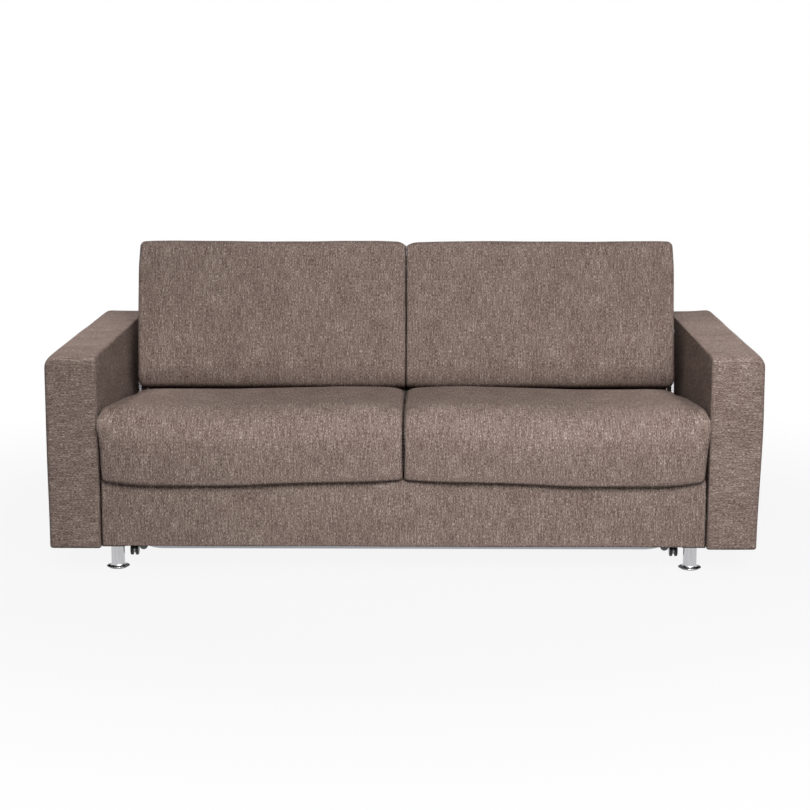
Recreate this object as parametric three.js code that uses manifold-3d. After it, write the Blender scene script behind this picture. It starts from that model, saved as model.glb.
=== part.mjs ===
// Two-seat sleeper sofa with a bed that folds out towards the front. Millimetres, X right, Y back, Z up.
// The origin is on the floor under the middle of the sofa. The model shows the sofa closed.
import * as THREE from 'three';
import { mergeVertices } from 'three/addons/utils/BufferGeometryUtils.js';
import Module from 'manifold-3d';

const wasm = await Module();
wasm.setup();

// Overall sizes
const WIDTH = 1980;
const DEPTH = 1037;
const BASE_HEIGHT = 70;
const GAP = 0.3;

// Arms, apron and rear panel
const ARM_THICK = 145;
const ARM_TOP = 613;
const ARM_OUTER_RADIUS = 24;
const ARM_INNER_RADIUS = 9;
const ARM_BEVEL = 9;
const APRON_THICK = 25;
const APRON_BOTTOM = 77;
const APRON_TOP = 247;
const APRON_END_GAP = 8;
const APRON_RADIUS = 8;
const REAR_THICK = 25;
const REAR_BOTTOM = 95;
const REAR_TOP = 792;
const REAR_SHOULDER = 586;
const REAR_NECK_INSET = 62;
const REAR_BEVEL = 6;

// Base metalwork and feet
const RAIL_WIDTH = 64.7;
const RAIL_HEIGHT = 62;
const RAIL_WALL = 4;
const RAIL_BOTTOM = 152;
const BLOCK_DEPTH = 72;
const LEG_RADIUS = 19;
const LEG_FOOT_RADIUS = 30;
const LEG_DISC_THICK = 3;
const LEG_DISC_EDGE = 1;
const LEG_FLARE_RADIUS = 24;
const LEG_FLARE_HEIGHT = 9;
const LEG_PLATE_RADIUS = 27;
const LEG_PLATE_THICK = 5;
const LEG_INSET = 37;
const FRONT_LEG_SETBACK = 70;
const REAR_LEG_SETBACK = 55;
const GLIDE_THICK = 3;
const GLIDE_RADIUS = 26;
const WELD_DEPTH = 1;
const CUT_MARGIN = 2;

// Bed sections
const TUBE_RADIUS = 12.5;
const TUBE_WALL = 1.5;
const STACK_BOTTOM = 46;
const MATTRESS_THICK = 76;
const MATTRESS_RADIUS = 14;
const MATTRESS_CROWN = 2;
const MATTRESS_END_GAP = 1.5;
const REST_GAP = 0.3;
const FOLD_SETBACK = 47;
const KNEE_CLEARANCE = 298;
const HEAD_END_CLEARANCE = 82;
const FOOT_LENGTH = 560;
const RECLINE = 13;
const HEAD_NOSE_GAP = 18;
const HEAD_BAR_SETBACK = 26;
const HEAD_BAR_RETURN = 46;
const TUBE_END_GAP = 20;
const CROSS_SETBACK = 32;
const CAP_HEAD = 5;
const SLAT_WIDTH = 58;
const SLAT_THICK = 9;
const SLAT_COUNTS = { head: 6, middle: 5, foot: 4 };
const BELT_WIDTH = 42;
const BELT_THICK = 3;
const BELT_SEAT = 1;
const BELT_SHARE = 0.42;

// Hinges, links and wheels, each in its own layer across the width
const PLATE = 5;
const LAYER_GAP = 1.5;
const SWING_THICK = 7;
const RAIL_CLEARANCE = 4.5;
const STUD_RADIUS = 6;
const STUD_CLEARANCE = 0.35;
const EYE_RADIUS = 13;
const STRAP_END_RADIUS = 11.5;
const BOSS_RADIUS = 10.5;
const STRAP_REACH = 110;
const EAR_REACH = 60;
const SWING_WIDTH = 34;
const LIFT = 220;
const TRAVEL = 190;
const SWING_HALF_ANGLE = 80;
const SWING_PIVOT_RISE = 33.5;
const FRONT_SWING_SETBACK = 168;
const SWING_SPACING = 400;
const WHEEL_LEG_SETBACK = 288;
const WHEEL_LEG_LENGTH = 260;
const WHEEL_DROP = 14.5;
const WHEEL_LEG_WIDTH = 20;
const WHEEL_RADIUS = 16.5;
const WHEEL_WIDTH = 8;
const WHEEL_SIDE_GAP = 0.6;
const AXLE_RADIUS = 4;
const SIDE_GAP = 27;
const FOOT_LEG_THICK = 8;
const FOOT_LEG_WIDTH = 22;
const FOOT_LEG_EYE_RADIUS = 13;
const FOOT_STUD_RADIUS = 8;
const FOOT_STUD_PROUD = 2;
const FOOT_LEG_OFFSET = 7;
const FOOT_LEG_PIVOT = 350;
const FOOT_LEG_FLOOR_GAP = 2;

// Cushions
const SEAT_NOSE = 32;
const SEAT_SIDE_GAP = 3;
const CUSHION_SPLIT = 3;
const SEAT_FRONT_TOP = 474;
const SEAT_NOSE_LENGTH = 70;
const SEAT_NOSE_DROP = 12;
const SEAT_BACK_GAP = 2;
const SEAT_TAIL_DROP = 62;
const SEAT_RELIEF = 5;
const SEAT_CROWN = 7;
const SEAT_RADIUS = 30;
const SEAT_CUT_START = 190;
const SEAT_CUT_LENGTH = 110;
const SEAT_CUT_MARGIN = 2;
const BACK_BOTTOM = 168;
const BACK_TOP = 617;
const BACK_THICK_BOTTOM = 158;
const BACK_THICK_TOP = 150;
const BACK_RADIUS = 26;
const BACK_CROWN = 8;
const TOP_CROWN = 5;
const BACK_SIDE_DRAW = 3;

const HALF_WIDTH = WIDTH / 2;
const INNER_HALF = HALF_WIDTH - ARM_THICK;
const REAR_Y = DEPTH / 2;
const ARM_FRONT_Y = -REAR_Y + SEAT_NOSE;
const APRON_BACK_Y = ARM_FRONT_Y + APRON_THICK;
const RAIL_IN = INNER_HALF - GAP - RAIL_WIDTH;
const SWING_OUT = RAIL_IN - RAIL_CLEARANCE;
const SWING_IN = SWING_OUT - SWING_THICK;
const STRIP_OUT = SWING_IN - LAYER_GAP;
const STRIP_IN = STRIP_OUT - PLATE;
const EAR_OUT = STRIP_IN - LAYER_GAP;
const EAR_IN = EAR_OUT - PLATE;
const PLATE_OUT = EAR_IN - LAYER_GAP;
const PLATE_IN = PLATE_OUT - PLATE;
const TUBE_X = PLATE_IN - TUBE_RADIUS + TUBE_WALL;
const MATTRESS_HALF = TUBE_X - GAP;
const CROSS_HALF = TUBE_X - TUBE_RADIUS - GAP;

const HEAD_TUBE_Z = STACK_BOTTOM + TUBE_RADIUS;
const FOLD_Z = HEAD_TUBE_Z + TUBE_RADIUS + REST_GAP + MATTRESS_THICK;
const MIDDLE_TUBE_Z = 2 * FOLD_Z - HEAD_TUBE_Z;
const FOLD_Y = APRON_BACK_Y + FOLD_SETBACK;
const REAR_INSIDE_Y = REAR_Y - REAR_THICK;
const KNEE_Y = REAR_INSIDE_Y - KNEE_CLEARANCE;
const HEAD_END_Y = REAR_INSIDE_Y - HEAD_END_CLEARANCE;
const MIDDLE_LENGTH = KNEE_Y - FOLD_Y;
const HEAD_LENGTH = HEAD_END_Y - FOLD_Y;

const radians = (degrees) => (degrees * Math.PI) / 180;
const point = (y, z) => ({ y, z });

// A point of the foot section: along it from the knee, and out of its plane towards the rear
function onFoot(along, behind) {
  const lean = radians(RECLINE);
  return point(
    KNEE_Y + along * Math.sin(lean) + behind * Math.cos(lean),
    MIDDLE_TUBE_Z + along * Math.cos(lean) - behind * Math.sin(lean),
  );
}

const FOLD = point(FOLD_Y, FOLD_Z);
const KNEE = point(KNEE_Y, MIDDLE_TUBE_Z);
const SWING_CHORD = Math.hypot(LIFT, TRAVEL);
const SWING_RADIUS = SWING_CHORD / 2 / Math.sin(radians(SWING_HALF_ANGLE));
const SWING_START = Math.atan2(TRAVEL, LIFT) - radians(SWING_HALF_ANGLE);
const SWING_TOP_Z = HEAD_TUBE_Z + SWING_PIVOT_RISE;
const WHEEL_PIVOT = point(FOLD_Y + WHEEL_LEG_SETBACK, HEAD_TUBE_Z);
const WHEEL_REACH = Math.sqrt(WHEEL_LEG_LENGTH ** 2 - WHEEL_DROP ** 2);
const AXLE = point(WHEEL_PIVOT.y - WHEEL_REACH, WHEEL_PIVOT.z - WHEEL_DROP);
const FOOT_LEG_TOP = onFoot(FOOT_LEG_PIVOT, 0);
const FOOT_LEG_LENGTH = FOLD_Z + LIFT - (FOLD_Z - HEAD_TUBE_Z) - FOOT_LEG_FLOOR_GAP;
const BACK_HALF = INNER_HALF - SIDE_GAP;
const FOOT_LEG_IN = BACK_HALF + FOOT_LEG_OFFSET;
const FOOT_LEG_OUT = FOOT_LEG_IN + FOOT_LEG_THICK;

const materials = {
  fabric: { color: 0x857870, roughness: 0.95, metalness: 0 },
  ticking: { color: 0xd9d6cd, roughness: 0.9, metalness: 0 },
  chrome: { color: 0xc4c6c8, roughness: 0.22, metalness: 1 },
  steel: { color: 0x8d9093, roughness: 0.4, metalness: 0.9 },
  silver: { color: 0xa9abad, roughness: 0.45, metalness: 0.6 },
  black: { color: 0x1b1b1c, roughness: 0.5, metalness: 0 },
  grey: { color: 0x7b7c7e, roughness: 0.6, metalness: 0 },
  wood: { color: 0xc49a67, roughness: 0.7, metalness: 0 },
  beech: { color: 0xd8b98a, roughness: 0.55, metalness: 0 },
};

const sofa = new THREE.Group();

function addPiece(name, geometry, look) {
  const mesh = new THREE.Mesh(geometry, new THREE.MeshStandardMaterial(materials[look]));
  mesh.name = name;
  sofa.add(mesh);
  return mesh;
}

function plainMesh(geometry) {
  const bare = geometry.index ? geometry : geometry.clone();
  bare.deleteAttribute('normal');
  bare.deleteAttribute('uv');
  return mergeVertices(bare, 1e-4);
}

function toSolid(geometry) {
  const merged = plainMesh(geometry);
  const vertProperties = Float32Array.from(merged.attributes.position.array);
  const triVerts = Uint32Array.from(merged.index.array);
  return new wasm.Manifold(new wasm.Mesh({ numProp: 3, vertProperties, triVerts }));
}

function toGeometry(solid) {
  const mesh = solid.getMesh();
  const geometry = new THREE.BufferGeometry();
  geometry.setAttribute('position', new THREE.Float32BufferAttribute(mesh.vertProperties, 3));
  geometry.setIndex(Array.from(mesh.triVerts));
  geometry.computeVertexNormals();
  return geometry;
}

function build(joined, cut = []) {
  let solid = toSolid(joined[0]);
  for (const other of joined.slice(1)) {
    solid = solid.add(toSolid(other));
  }
  for (const other of cut) {
    solid = solid.subtract(toSolid(other));
  }
  return toGeometry(solid);
}

// Mirrors a geometry across the middle plane and turns its faces out again
function mirrored(geometry) {
  const copy = plainMesh(geometry.clone());
  copy.scale(-1, 1, 1);
  const index = copy.index.array;
  for (let i = 0; i < index.length; i += 3) {
    const first = index[i];
    index[i] = index[i + 1];
    index[i + 1] = first;
  }
  copy.computeVertexNormals();
  return copy;
}

// Adds a right-hand piece and its left-hand mirror image
function addPair(name, geometry, look) {
  addPiece(name + '_right', geometry, look);
  addPiece(name + '_left', mirrored(geometry), look);
}

// A round bar or hole filler across the width
function pin(at, radius, fromX, toX, sides = 12) {
  const geometry = new THREE.CylinderGeometry(radius, radius, toX - fromX, sides);
  geometry.rotateZ(Math.PI / 2);
  geometry.translate((fromX + toX) / 2, at.y, at.z);
  return geometry;
}

// Stands a drawing made in Y and Z up in its plane and gives it a thickness across the width
function plateFrom(shape, fromX, toX) {
  const geometry = new THREE.ExtrudeGeometry(shape, {
    depth: toX - fromX,
    bevelEnabled: false,
    curveSegments: 5,
  });
  geometry.rotateX(Math.PI / 2);
  geometry.rotateZ(Math.PI / 2);
  geometry.translate(fromX, 0, 0);
  return geometry;
}

// A flat link with a round eye at each end, tapering from the first to the second
function strap(a, b, radiusA, radiusB, fromX, toX) {
  const heading = Math.atan2(b.z - a.z, b.y - a.y);
  const length = Math.hypot(b.y - a.y, b.z - a.z);
  const lean = Math.acos((radiusA - radiusB) / length);
  const shape = new THREE.Shape();
  shape.absarc(a.y, a.z, radiusA, heading + lean, heading - lean + 2 * Math.PI, false);
  shape.absarc(b.y, b.z, radiusB, heading - lean, heading + lean, false);
  shape.closePath();
  return plateFrom(shape, fromX, toX);
}

function ring(radius, wall, sides = 14) {
  const shape = new THREE.Shape();
  const hole = new THREE.Path();
  for (let i = 0; i < sides; i += 1) {
    const angle = (2 * Math.PI * (i + 0.5)) / sides;
    const spot = [Math.cos(angle), Math.sin(angle)];
    const scale = radius / Math.cos(Math.PI / sides);
    const inner = scale - wall;
    if (i === 0) {
      shape.moveTo(scale * spot[0], scale * spot[1]);
      hole.moveTo(inner * spot[0], inner * spot[1]);
    } else {
      shape.lineTo(scale * spot[0], scale * spot[1]);
      hole.lineTo(inner * spot[0], inner * spot[1]);
    }
  }
  shape.closePath();
  hole.closePath();
  shape.holes.push(hole);
  return shape;
}

// A straight tube with open ends between two points
function tube(from, to) {
  const start = new THREE.Vector3(...from);
  const end = new THREE.Vector3(...to);
  const length = start.distanceTo(end);
  const geometry = new THREE.ExtrudeGeometry(ring(TUBE_RADIUS * Math.cos(Math.PI / 14), TUBE_WALL), {
    depth: length,
    bevelEnabled: false,
  });
  const along = end.clone().sub(start).normalize();
  const turn = new THREE.Quaternion().setFromUnitVectors(new THREE.Vector3(0, 0, 1), along);
  geometry.applyQuaternion(turn);
  geometry.translate(start.x, start.y, start.z);
  return geometry;
}

// A path through listed stations, so that straight runs take one step
class StationPath extends THREE.Curve {
  constructor(stations) {
    super();
    this.stations = stations;
  }

  getPointAt(share, target = new THREE.Vector3()) {
    const index = Math.round(share * (this.stations.length - 1));
    return target.copy(this.stations[index].at);
  }

  getTangentAt(share, target = new THREE.Vector3()) {
    const index = Math.round(share * (this.stations.length - 1));
    return target.copy(this.stations[index].along);
  }

  getPoint(share, target) {
    return this.getPointAt(share, target);
  }
}

// A block with rounded edges and a grid of faces that a warp can swell or draw in
function softBlock(size, radius, steps, warp) {
  const grids = size.map((length, axis) => {
    const half = length / 2;
    const flat = half - radius;
    const edge = [1, Math.tan(Math.PI / 8), 0];
    const list = edge.map((share) => -flat - radius * share);
    for (let i = 1; i < steps[axis]; i += 1) {
      list.push(-flat + (2 * flat * i) / steps[axis]);
    }
    edge.reverse().forEach((share) => list.push(flat + radius * share));
    return list;
  });
  const counts = grids.map((list) => list.length - 1);
  const geometry = plainMesh(new THREE.BoxGeometry(1, 1, 1, ...counts));
  const position = geometry.attributes.position;
  for (let i = 0; i < position.count; i += 1) {
    const raw = [position.getX(i), position.getY(i), position.getZ(i)];
    const spot = raw.map((value, axis) => grids[axis][Math.round((value + 0.5) * counts[axis])]);
    const core = spot.map((value, axis) => {
      const flat = size[axis] / 2 - radius;
      return Math.max(-flat, Math.min(flat, value));
    });
    const off = new THREE.Vector3(...spot.map((value, axis) => value - core[axis]));
    if (off.length() > 0) {
      off.setLength(radius);
    }
    const round = new THREE.Vector3(...core).add(off);
    const share = new THREE.Vector3(
      (2 * round.x) / size[0],
      (2 * round.y) / size[1],
      (2 * round.z) / size[2],
    );
    const out = warp(round, share);
    position.setXYZ(i, out.x, out.y, out.z);
  }
  geometry.computeVertexNormals();
  return geometry;
}

const swell = (share) => 1 - share ** 4;

// Arms: an upholstered panel with a soft outer top edge and a tighter inner one
function armProfile() {
  const low = BASE_HEIGHT + ARM_BEVEL;
  const top = ARM_TOP - ARM_BEVEL;
  const inner = INNER_HALF + ARM_BEVEL;
  const outer = HALF_WIDTH - ARM_BEVEL;
  const shape = new THREE.Shape();
  shape.moveTo(inner, low);
  shape.lineTo(outer, low);
  shape.lineTo(outer, top - ARM_OUTER_RADIUS);
  shape.absarc(outer - ARM_OUTER_RADIUS, top - ARM_OUTER_RADIUS, ARM_OUTER_RADIUS, 0, Math.PI / 2, false);
  shape.lineTo(inner + ARM_INNER_RADIUS, top);
  shape.absarc(inner + ARM_INNER_RADIUS, top - ARM_INNER_RADIUS, ARM_INNER_RADIUS, Math.PI / 2, Math.PI, false);
  shape.closePath();
  return shape;
}

const armGeometry = new THREE.ExtrudeGeometry(armProfile(), {
  depth: REAR_Y - ARM_FRONT_Y - 2 * ARM_BEVEL,
  bevelSize: ARM_BEVEL,
  bevelThickness: ARM_BEVEL,
  bevelSegments: 3,
  curveSegments: 8,
});
armGeometry.rotateX(Math.PI / 2);
armGeometry.translate(0, REAR_Y - ARM_BEVEL, 0);
addPair('arm', armGeometry, 'fabric');

// Front apron between the arms
const apronHalf = INNER_HALF - APRON_END_GAP;
const apronSize = [2 * apronHalf, APRON_THICK, APRON_TOP - APRON_BOTTOM];
const apronMiddle = [0, ARM_FRONT_Y + APRON_THICK / 2, (APRON_TOP + APRON_BOTTOM) / 2];
addPiece(
  'front_apron',
  softBlock(apronSize, APRON_RADIUS, [2, 1, 1], (p) => p).translate(...apronMiddle),
  'fabric',
);

// Rear panel: full width between the arms, then narrower behind the back cushions
function rearProfile() {
  const wide = INNER_HALF - GAP - REAR_BEVEL;
  const narrow = wide - REAR_NECK_INSET;
  const low = REAR_BOTTOM + REAR_BEVEL;
  const shoulder = REAR_SHOULDER - REAR_BEVEL;
  const top = REAR_TOP - REAR_BEVEL;
  const shape = new THREE.Shape();
  shape.moveTo(-wide, low);
  shape.lineTo(wide, low);
  shape.lineTo(wide, shoulder);
  shape.lineTo(narrow + REAR_NECK_INSET / 2, shoulder);
  shape.quadraticCurveTo(narrow, shoulder, narrow, shoulder + REAR_NECK_INSET / 2);
  shape.lineTo(narrow, top - REAR_NECK_INSET);
  shape.quadraticCurveTo(narrow, top, narrow - REAR_NECK_INSET, top);
  shape.lineTo(-narrow + REAR_NECK_INSET, top);
  shape.quadraticCurveTo(-narrow, top, -narrow, top - REAR_NECK_INSET);
  shape.lineTo(-narrow, shoulder + REAR_NECK_INSET / 2);
  shape.quadraticCurveTo(-narrow, shoulder, -narrow - REAR_NECK_INSET / 2, shoulder);
  shape.lineTo(-wide, shoulder);
  shape.closePath();
  return shape;
}

const rearGeometry = new THREE.ExtrudeGeometry(rearProfile(), {
  depth: REAR_THICK - 2 * REAR_BEVEL,
  bevelSize: REAR_BEVEL,
  bevelThickness: REAR_BEVEL,
  bevelSegments: 2,
  curveSegments: 6,
});
rearGeometry.rotateX(Math.PI / 2);
rearGeometry.translate(0, REAR_Y - REAR_BEVEL, 0);
addPiece('rear_panel', rearGeometry, 'fabric');

// Side rails: folded channels on the arms' inner faces that carry the four swing arms
const SWING_BASES = [FOLD_Y + FRONT_SWING_SETBACK, FOLD_Y + FRONT_SWING_SETBACK + SWING_SPACING].map((y) => ({
  top: point(y, SWING_TOP_Z),
  base: point(
    y - SWING_RADIUS * Math.cos(SWING_START),
    SWING_TOP_Z - SWING_RADIUS * Math.sin(SWING_START),
  ),
}));

function railProfile() {
  const outer = RAIL_IN + RAIL_WIDTH;
  const top = RAIL_BOTTOM + RAIL_HEIGHT;
  const shape = new THREE.Shape();
  shape.moveTo(RAIL_IN, RAIL_BOTTOM);
  shape.lineTo(outer, RAIL_BOTTOM);
  shape.lineTo(outer, RAIL_BOTTOM + RAIL_WALL);
  shape.lineTo(RAIL_IN + RAIL_WALL, RAIL_BOTTOM + RAIL_WALL);
  shape.lineTo(RAIL_IN + RAIL_WALL, top - RAIL_WALL);
  shape.lineTo(outer, top - RAIL_WALL);
  shape.lineTo(outer, top);
  shape.lineTo(RAIL_IN, top);
  shape.closePath();
  return shape;
}

const railFront = APRON_BACK_Y + GAP;
const railBack = REAR_INSIDE_Y - GAP;
const railGeometry = new THREE.ExtrudeGeometry(railProfile(), { depth: railBack - railFront, bevelEnabled: false });
railGeometry.rotateX(Math.PI / 2);
railGeometry.translate(0, railBack, 0);
const railHoles = SWING_BASES.map((swing) =>
  pin(swing.base, STUD_RADIUS + STUD_CLEARANCE, RAIL_IN - PLATE, RAIL_IN + RAIL_WALL + PLATE),
);
addPair('side_rail', build([railGeometry], railHoles), 'steel');

// Corner blocks under the rails, with a leg and a glide under each
const legX = INNER_HALF - LEG_INSET;
const blockHeight = RAIL_BOTTOM - BASE_HEIGHT - GAP;
const legTop = BASE_HEIGHT - GAP;
const legBase = GLIDE_THICK + GAP;

function legProfile() {
  const discTop = legBase + LEG_DISC_THICK;
  const points = [
    new THREE.Vector2(0, legBase),
    new THREE.Vector2(LEG_FOOT_RADIUS - LEG_DISC_EDGE, legBase),
    new THREE.Vector2(LEG_FOOT_RADIUS, legBase + LEG_DISC_EDGE),
    new THREE.Vector2(LEG_FOOT_RADIUS - LEG_DISC_EDGE, discTop),
  ];
  const flare = LEG_FLARE_RADIUS - LEG_RADIUS;
  for (let i = 0; i <= 4; i += 1) {
    const share = i / 4;
    points.push(new THREE.Vector2(LEG_RADIUS + flare * (1 - share) ** 2, discTop + LEG_FLARE_HEIGHT * share));
  }
  points.push(new THREE.Vector2(LEG_RADIUS, legTop - LEG_PLATE_THICK));
  points.push(new THREE.Vector2(LEG_PLATE_RADIUS, legTop - LEG_PLATE_THICK));
  points.push(new THREE.Vector2(LEG_PLATE_RADIUS, legTop));
  points.push(new THREE.Vector2(0, legTop));
  return points;
}

function turned(points, sides) {
  const geometry = new THREE.LatheGeometry(points, sides);
  geometry.rotateX(Math.PI / 2);
  return geometry;
}

const corners = [
  ['front', ARM_FRONT_Y + FRONT_LEG_SETBACK, railFront, railFront + BLOCK_DEPTH],
  ['rear', REAR_Y - REAR_LEG_SETBACK, railBack - BLOCK_DEPTH, railBack],
];
for (const [end, legY, blockFront, blockBack] of corners) {
  const block = new THREE.BoxGeometry(RAIL_WIDTH, blockBack - blockFront, blockHeight);
  block.translate(RAIL_IN + RAIL_WIDTH / 2, (blockFront + blockBack) / 2, BASE_HEIGHT + blockHeight / 2);
  addPair('corner_block_' + end, block, 'wood');
  const leg = turned(legProfile(), 20);
  leg.translate(legX, legY, 0);
  addPair(end + '_leg', leg, 'chrome');
  const glide = new THREE.CylinderGeometry(GLIDE_RADIUS, GLIDE_RADIUS, GLIDE_THICK, 16);
  glide.rotateX(Math.PI / 2);
  glide.translate(legX, legY, GLIDE_THICK / 2);
  addPair(end + '_glide', glide, 'black');
}

// Swing arms: the bed rides forward and up on two arms on each side
['front', 'rear'].forEach((end, i) => {
  const { top, base } = SWING_BASES[i];
  const arm = strap(top, base, SWING_WIDTH / 2, SWING_WIDTH / 2, SWING_IN, SWING_OUT);
  const innerStud = pin(top, STUD_RADIUS, PLATE_IN - GAP, SWING_IN + WELD_DEPTH);
  const outerStud = pin(base, STUD_RADIUS, SWING_OUT - WELD_DEPTH, RAIL_IN + RAIL_WALL + PLATE);
  addPair('swing_arm_' + end, build([arm, innerStud, outerStud]), 'steel');
});

// Head section: side tubes with their welded hinge straps, swing brackets and wheel studs
const bore = (at, fromX, toX) => pin(at, STUD_RADIUS + STUD_CLEARANCE, fromX - CUT_MARGIN, toX + CUT_MARGIN);
const headNoseY = FOLD_Y + HEAD_NOSE_GAP;
const strapFootHead = point(FOLD_Y + STRAP_REACH, HEAD_TUBE_Z);
const headSide = build(
  [
    tube([TUBE_X, headNoseY, HEAD_TUBE_Z], [TUBE_X, HEAD_END_Y, HEAD_TUBE_Z]),
    strap(FOLD, strapFootHead, EYE_RADIUS, STRAP_END_RADIUS, PLATE_IN, PLATE_OUT),
    ...SWING_BASES.map(({ top }) =>
      strap(top, point(top.y, HEAD_TUBE_Z), EYE_RADIUS, STRAP_END_RADIUS, PLATE_IN, PLATE_OUT),
    ),
    pin(WHEEL_PIVOT, STUD_RADIUS, PLATE_IN - TUBE_WALL, STRIP_OUT),
  ],
  [bore(FOLD, PLATE_IN, PLATE_OUT), ...SWING_BASES.map(({ top }) => bore(top, PLATE_IN, PLATE_OUT))],
);
addPair('head_side_tube', headSide, 'silver');

// Front bar of the head section: its ends bend back to meet the side tubes
function bentBar() {
  const y = headNoseY + HEAD_BAR_SETBACK - TUBE_RADIUS;
  const bend = HEAD_BAR_RETURN;
  const straight = CROSS_HALF - bend;
  const stations = [];
  const steps = 5;
  const sweep = Math.PI / 3;
  const drop = bend / Math.sin(sweep);
  for (let i = 0; i <= steps; i += 1) {
    const angle = sweep * (1 - i / steps);
    stations.push({
      at: new THREE.Vector3(-straight - drop * Math.sin(angle), y + drop * (1 - Math.cos(angle)), HEAD_TUBE_Z),
      along: new THREE.Vector3(Math.cos(angle), -Math.sin(angle), 0),
    });
  }
  for (let i = 0; i <= steps; i += 1) {
    const angle = (sweep * i) / steps;
    stations.push({
      at: new THREE.Vector3(straight + drop * Math.sin(angle), y + drop * (1 - Math.cos(angle)), HEAD_TUBE_Z),
      along: new THREE.Vector3(Math.cos(angle), Math.sin(angle), 0),
    });
  }
  return new THREE.ExtrudeGeometry(ring(TUBE_RADIUS * Math.cos(Math.PI / 14), TUBE_WALL), {
    steps: stations.length - 1,
    extrudePath: new StationPath(stations),
    bevelEnabled: false,
  });
}

const sideClearance = [-1, 1].map((side) => {
  const keep = new THREE.CylinderGeometry(TUBE_RADIUS + GAP, TUBE_RADIUS + GAP, 2 * HEAD_LENGTH, 28);
  return keep.translate(side * TUBE_X, 0, HEAD_TUBE_Z);
});
const endTrim = [-1, 1].map((side) => {
  const width = 4 * TUBE_RADIUS;
  const block = new THREE.BoxGeometry(width, 4 * HEAD_BAR_RETURN, 4 * TUBE_RADIUS);
  return block.translate(side * (TUBE_X + width / 2), headNoseY + HEAD_BAR_RETURN, HEAD_TUBE_Z);
});
addPiece('head_front_bar', build([bentBar()], [...sideClearance, ...endTrim]), 'silver');

// A cross tube between the side tubes of a section
function crossTube(at) {
  return tube([-CROSS_HALF, at.y, at.z], [CROSS_HALF, at.y, at.z]);
}

addPiece('head_rear_bar', crossTube(point(HEAD_END_Y - 2 * TUBE_RADIUS, HEAD_TUBE_Z)), 'silver');

// Plugs in the front ends of the side tubes
function tubeCap() {
  const inner = TUBE_RADIUS * Math.cos(Math.PI / 14) - TUBE_WALL - GAP;
  const points = [
    new THREE.Vector2(0, -TUBE_RADIUS),
    new THREE.Vector2(inner, -TUBE_RADIUS),
    new THREE.Vector2(inner, GAP),
    new THREE.Vector2(TUBE_RADIUS, GAP),
    new THREE.Vector2(TUBE_RADIUS, 0.5 * CAP_HEAD),
    new THREE.Vector2(0.7 * TUBE_RADIUS, 0.9 * CAP_HEAD),
    new THREE.Vector2(0, CAP_HEAD),
  ];
  const geometry = new THREE.LatheGeometry(points, 14);
  geometry.rotateX(Math.PI);
  geometry.rotateY(Math.PI / 14);
  return geometry.translate(TUBE_X, headNoseY, HEAD_TUBE_Z);
}

addPair('tube_cap', tubeCap(), 'grey');

// Slats run across a section and are sewn to two lengthwise belts below them
function slatDeck(from, to, count, place) {
  const half = CROSS_HALF;
  const pitch = (to - from - SLAT_WIDTH) / (count - 1);
  const pieces = [];
  for (let i = 0; i < count; i += 1) {
    const slat = new THREE.BoxGeometry(2 * half, SLAT_WIDTH, SLAT_THICK);
    pieces.push(slat.translate(0, from + SLAT_WIDTH / 2 + pitch * i, SLAT_THICK / 2));
  }
  for (const side of [-1, 1]) {
    const thick = BELT_THICK + BELT_SEAT;
    const belt = new THREE.BoxGeometry(BELT_WIDTH, to - from, thick);
    pieces.push(belt.translate(side * half * BELT_SHARE, (from + to) / 2, BELT_SEAT - thick / 2));
  }
  return place(build(pieces));
}

const deckRise = TUBE_RADIUS - SLAT_THICK;
const frontBarBack = headNoseY + HEAD_BAR_SETBACK + TUBE_RADIUS * 2;
addPiece(
  'head_slats',
  slatDeck(frontBarBack + HEAD_BAR_RETURN / 2, HEAD_END_Y - 4 * TUBE_RADIUS, SLAT_COUNTS.head, (deck) =>
    deck.translate(0, 0, HEAD_TUBE_Z + deckRise),
  ),
  'beech',
);

function mattress(length) {
  const size = [2 * MATTRESS_HALF, length, MATTRESS_THICK - REST_GAP / 2];
  return softBlock(size, MATTRESS_RADIUS, [3, 2, 1], (p, share) => {
    const drawn = 1 - share.z ** 2;
    return p.setY(p.y - MATTRESS_CROWN * Math.sign(p.y) * (1 - drawn) * (Math.abs(share.y) > 0.9 ? 1 : 0));
  });
}

const headMattressLength = HEAD_LENGTH - MATTRESS_END_GAP;
const mattressRise = TUBE_RADIUS + REST_GAP + (MATTRESS_THICK - REST_GAP / 2) / 2;
addPiece(
  'mattress_head',
  mattress(headMattressLength).translate(
    0,
    FOLD_Y + MATTRESS_END_GAP + headMattressLength / 2,
    HEAD_TUBE_Z + mattressRise,
  ),
  'ticking',
);

// Wheel legs that swing down under the open bed, each with a pair of small wheels
const axleHole = pin(AXLE, AXLE_RADIUS + STUD_CLEARANCE, STRIP_IN - CUT_MARGIN, STRIP_OUT + CUT_MARGIN);
const wheelStrip = build(
  [strap(WHEEL_PIVOT, AXLE, WHEEL_LEG_WIDTH / 2, WHEEL_LEG_WIDTH / 2, STRIP_IN, STRIP_OUT)],
  [bore(WHEEL_PIVOT, STRIP_IN, STRIP_OUT), axleHole],
);
addPair('wheel_leg', wheelStrip, 'steel');

function wheel(fromX, toX) {
  const rim = (toX - fromX) / 5;
  const points = [
    new THREE.Vector2(AXLE_RADIUS + GAP, 0),
    new THREE.Vector2(WHEEL_RADIUS - rim, 0),
    new THREE.Vector2(WHEEL_RADIUS, rim),
    new THREE.Vector2(WHEEL_RADIUS, toX - fromX - rim),
    new THREE.Vector2(WHEEL_RADIUS - rim, toX - fromX),
    new THREE.Vector2(AXLE_RADIUS + GAP, toX - fromX),
    new THREE.Vector2(AXLE_RADIUS + GAP, 0),
  ];
  const geometry = new THREE.LatheGeometry(points, 20);
  geometry.rotateZ(-Math.PI / 2);
  return geometry.translate(fromX, AXLE.y, AXLE.z);
}

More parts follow.
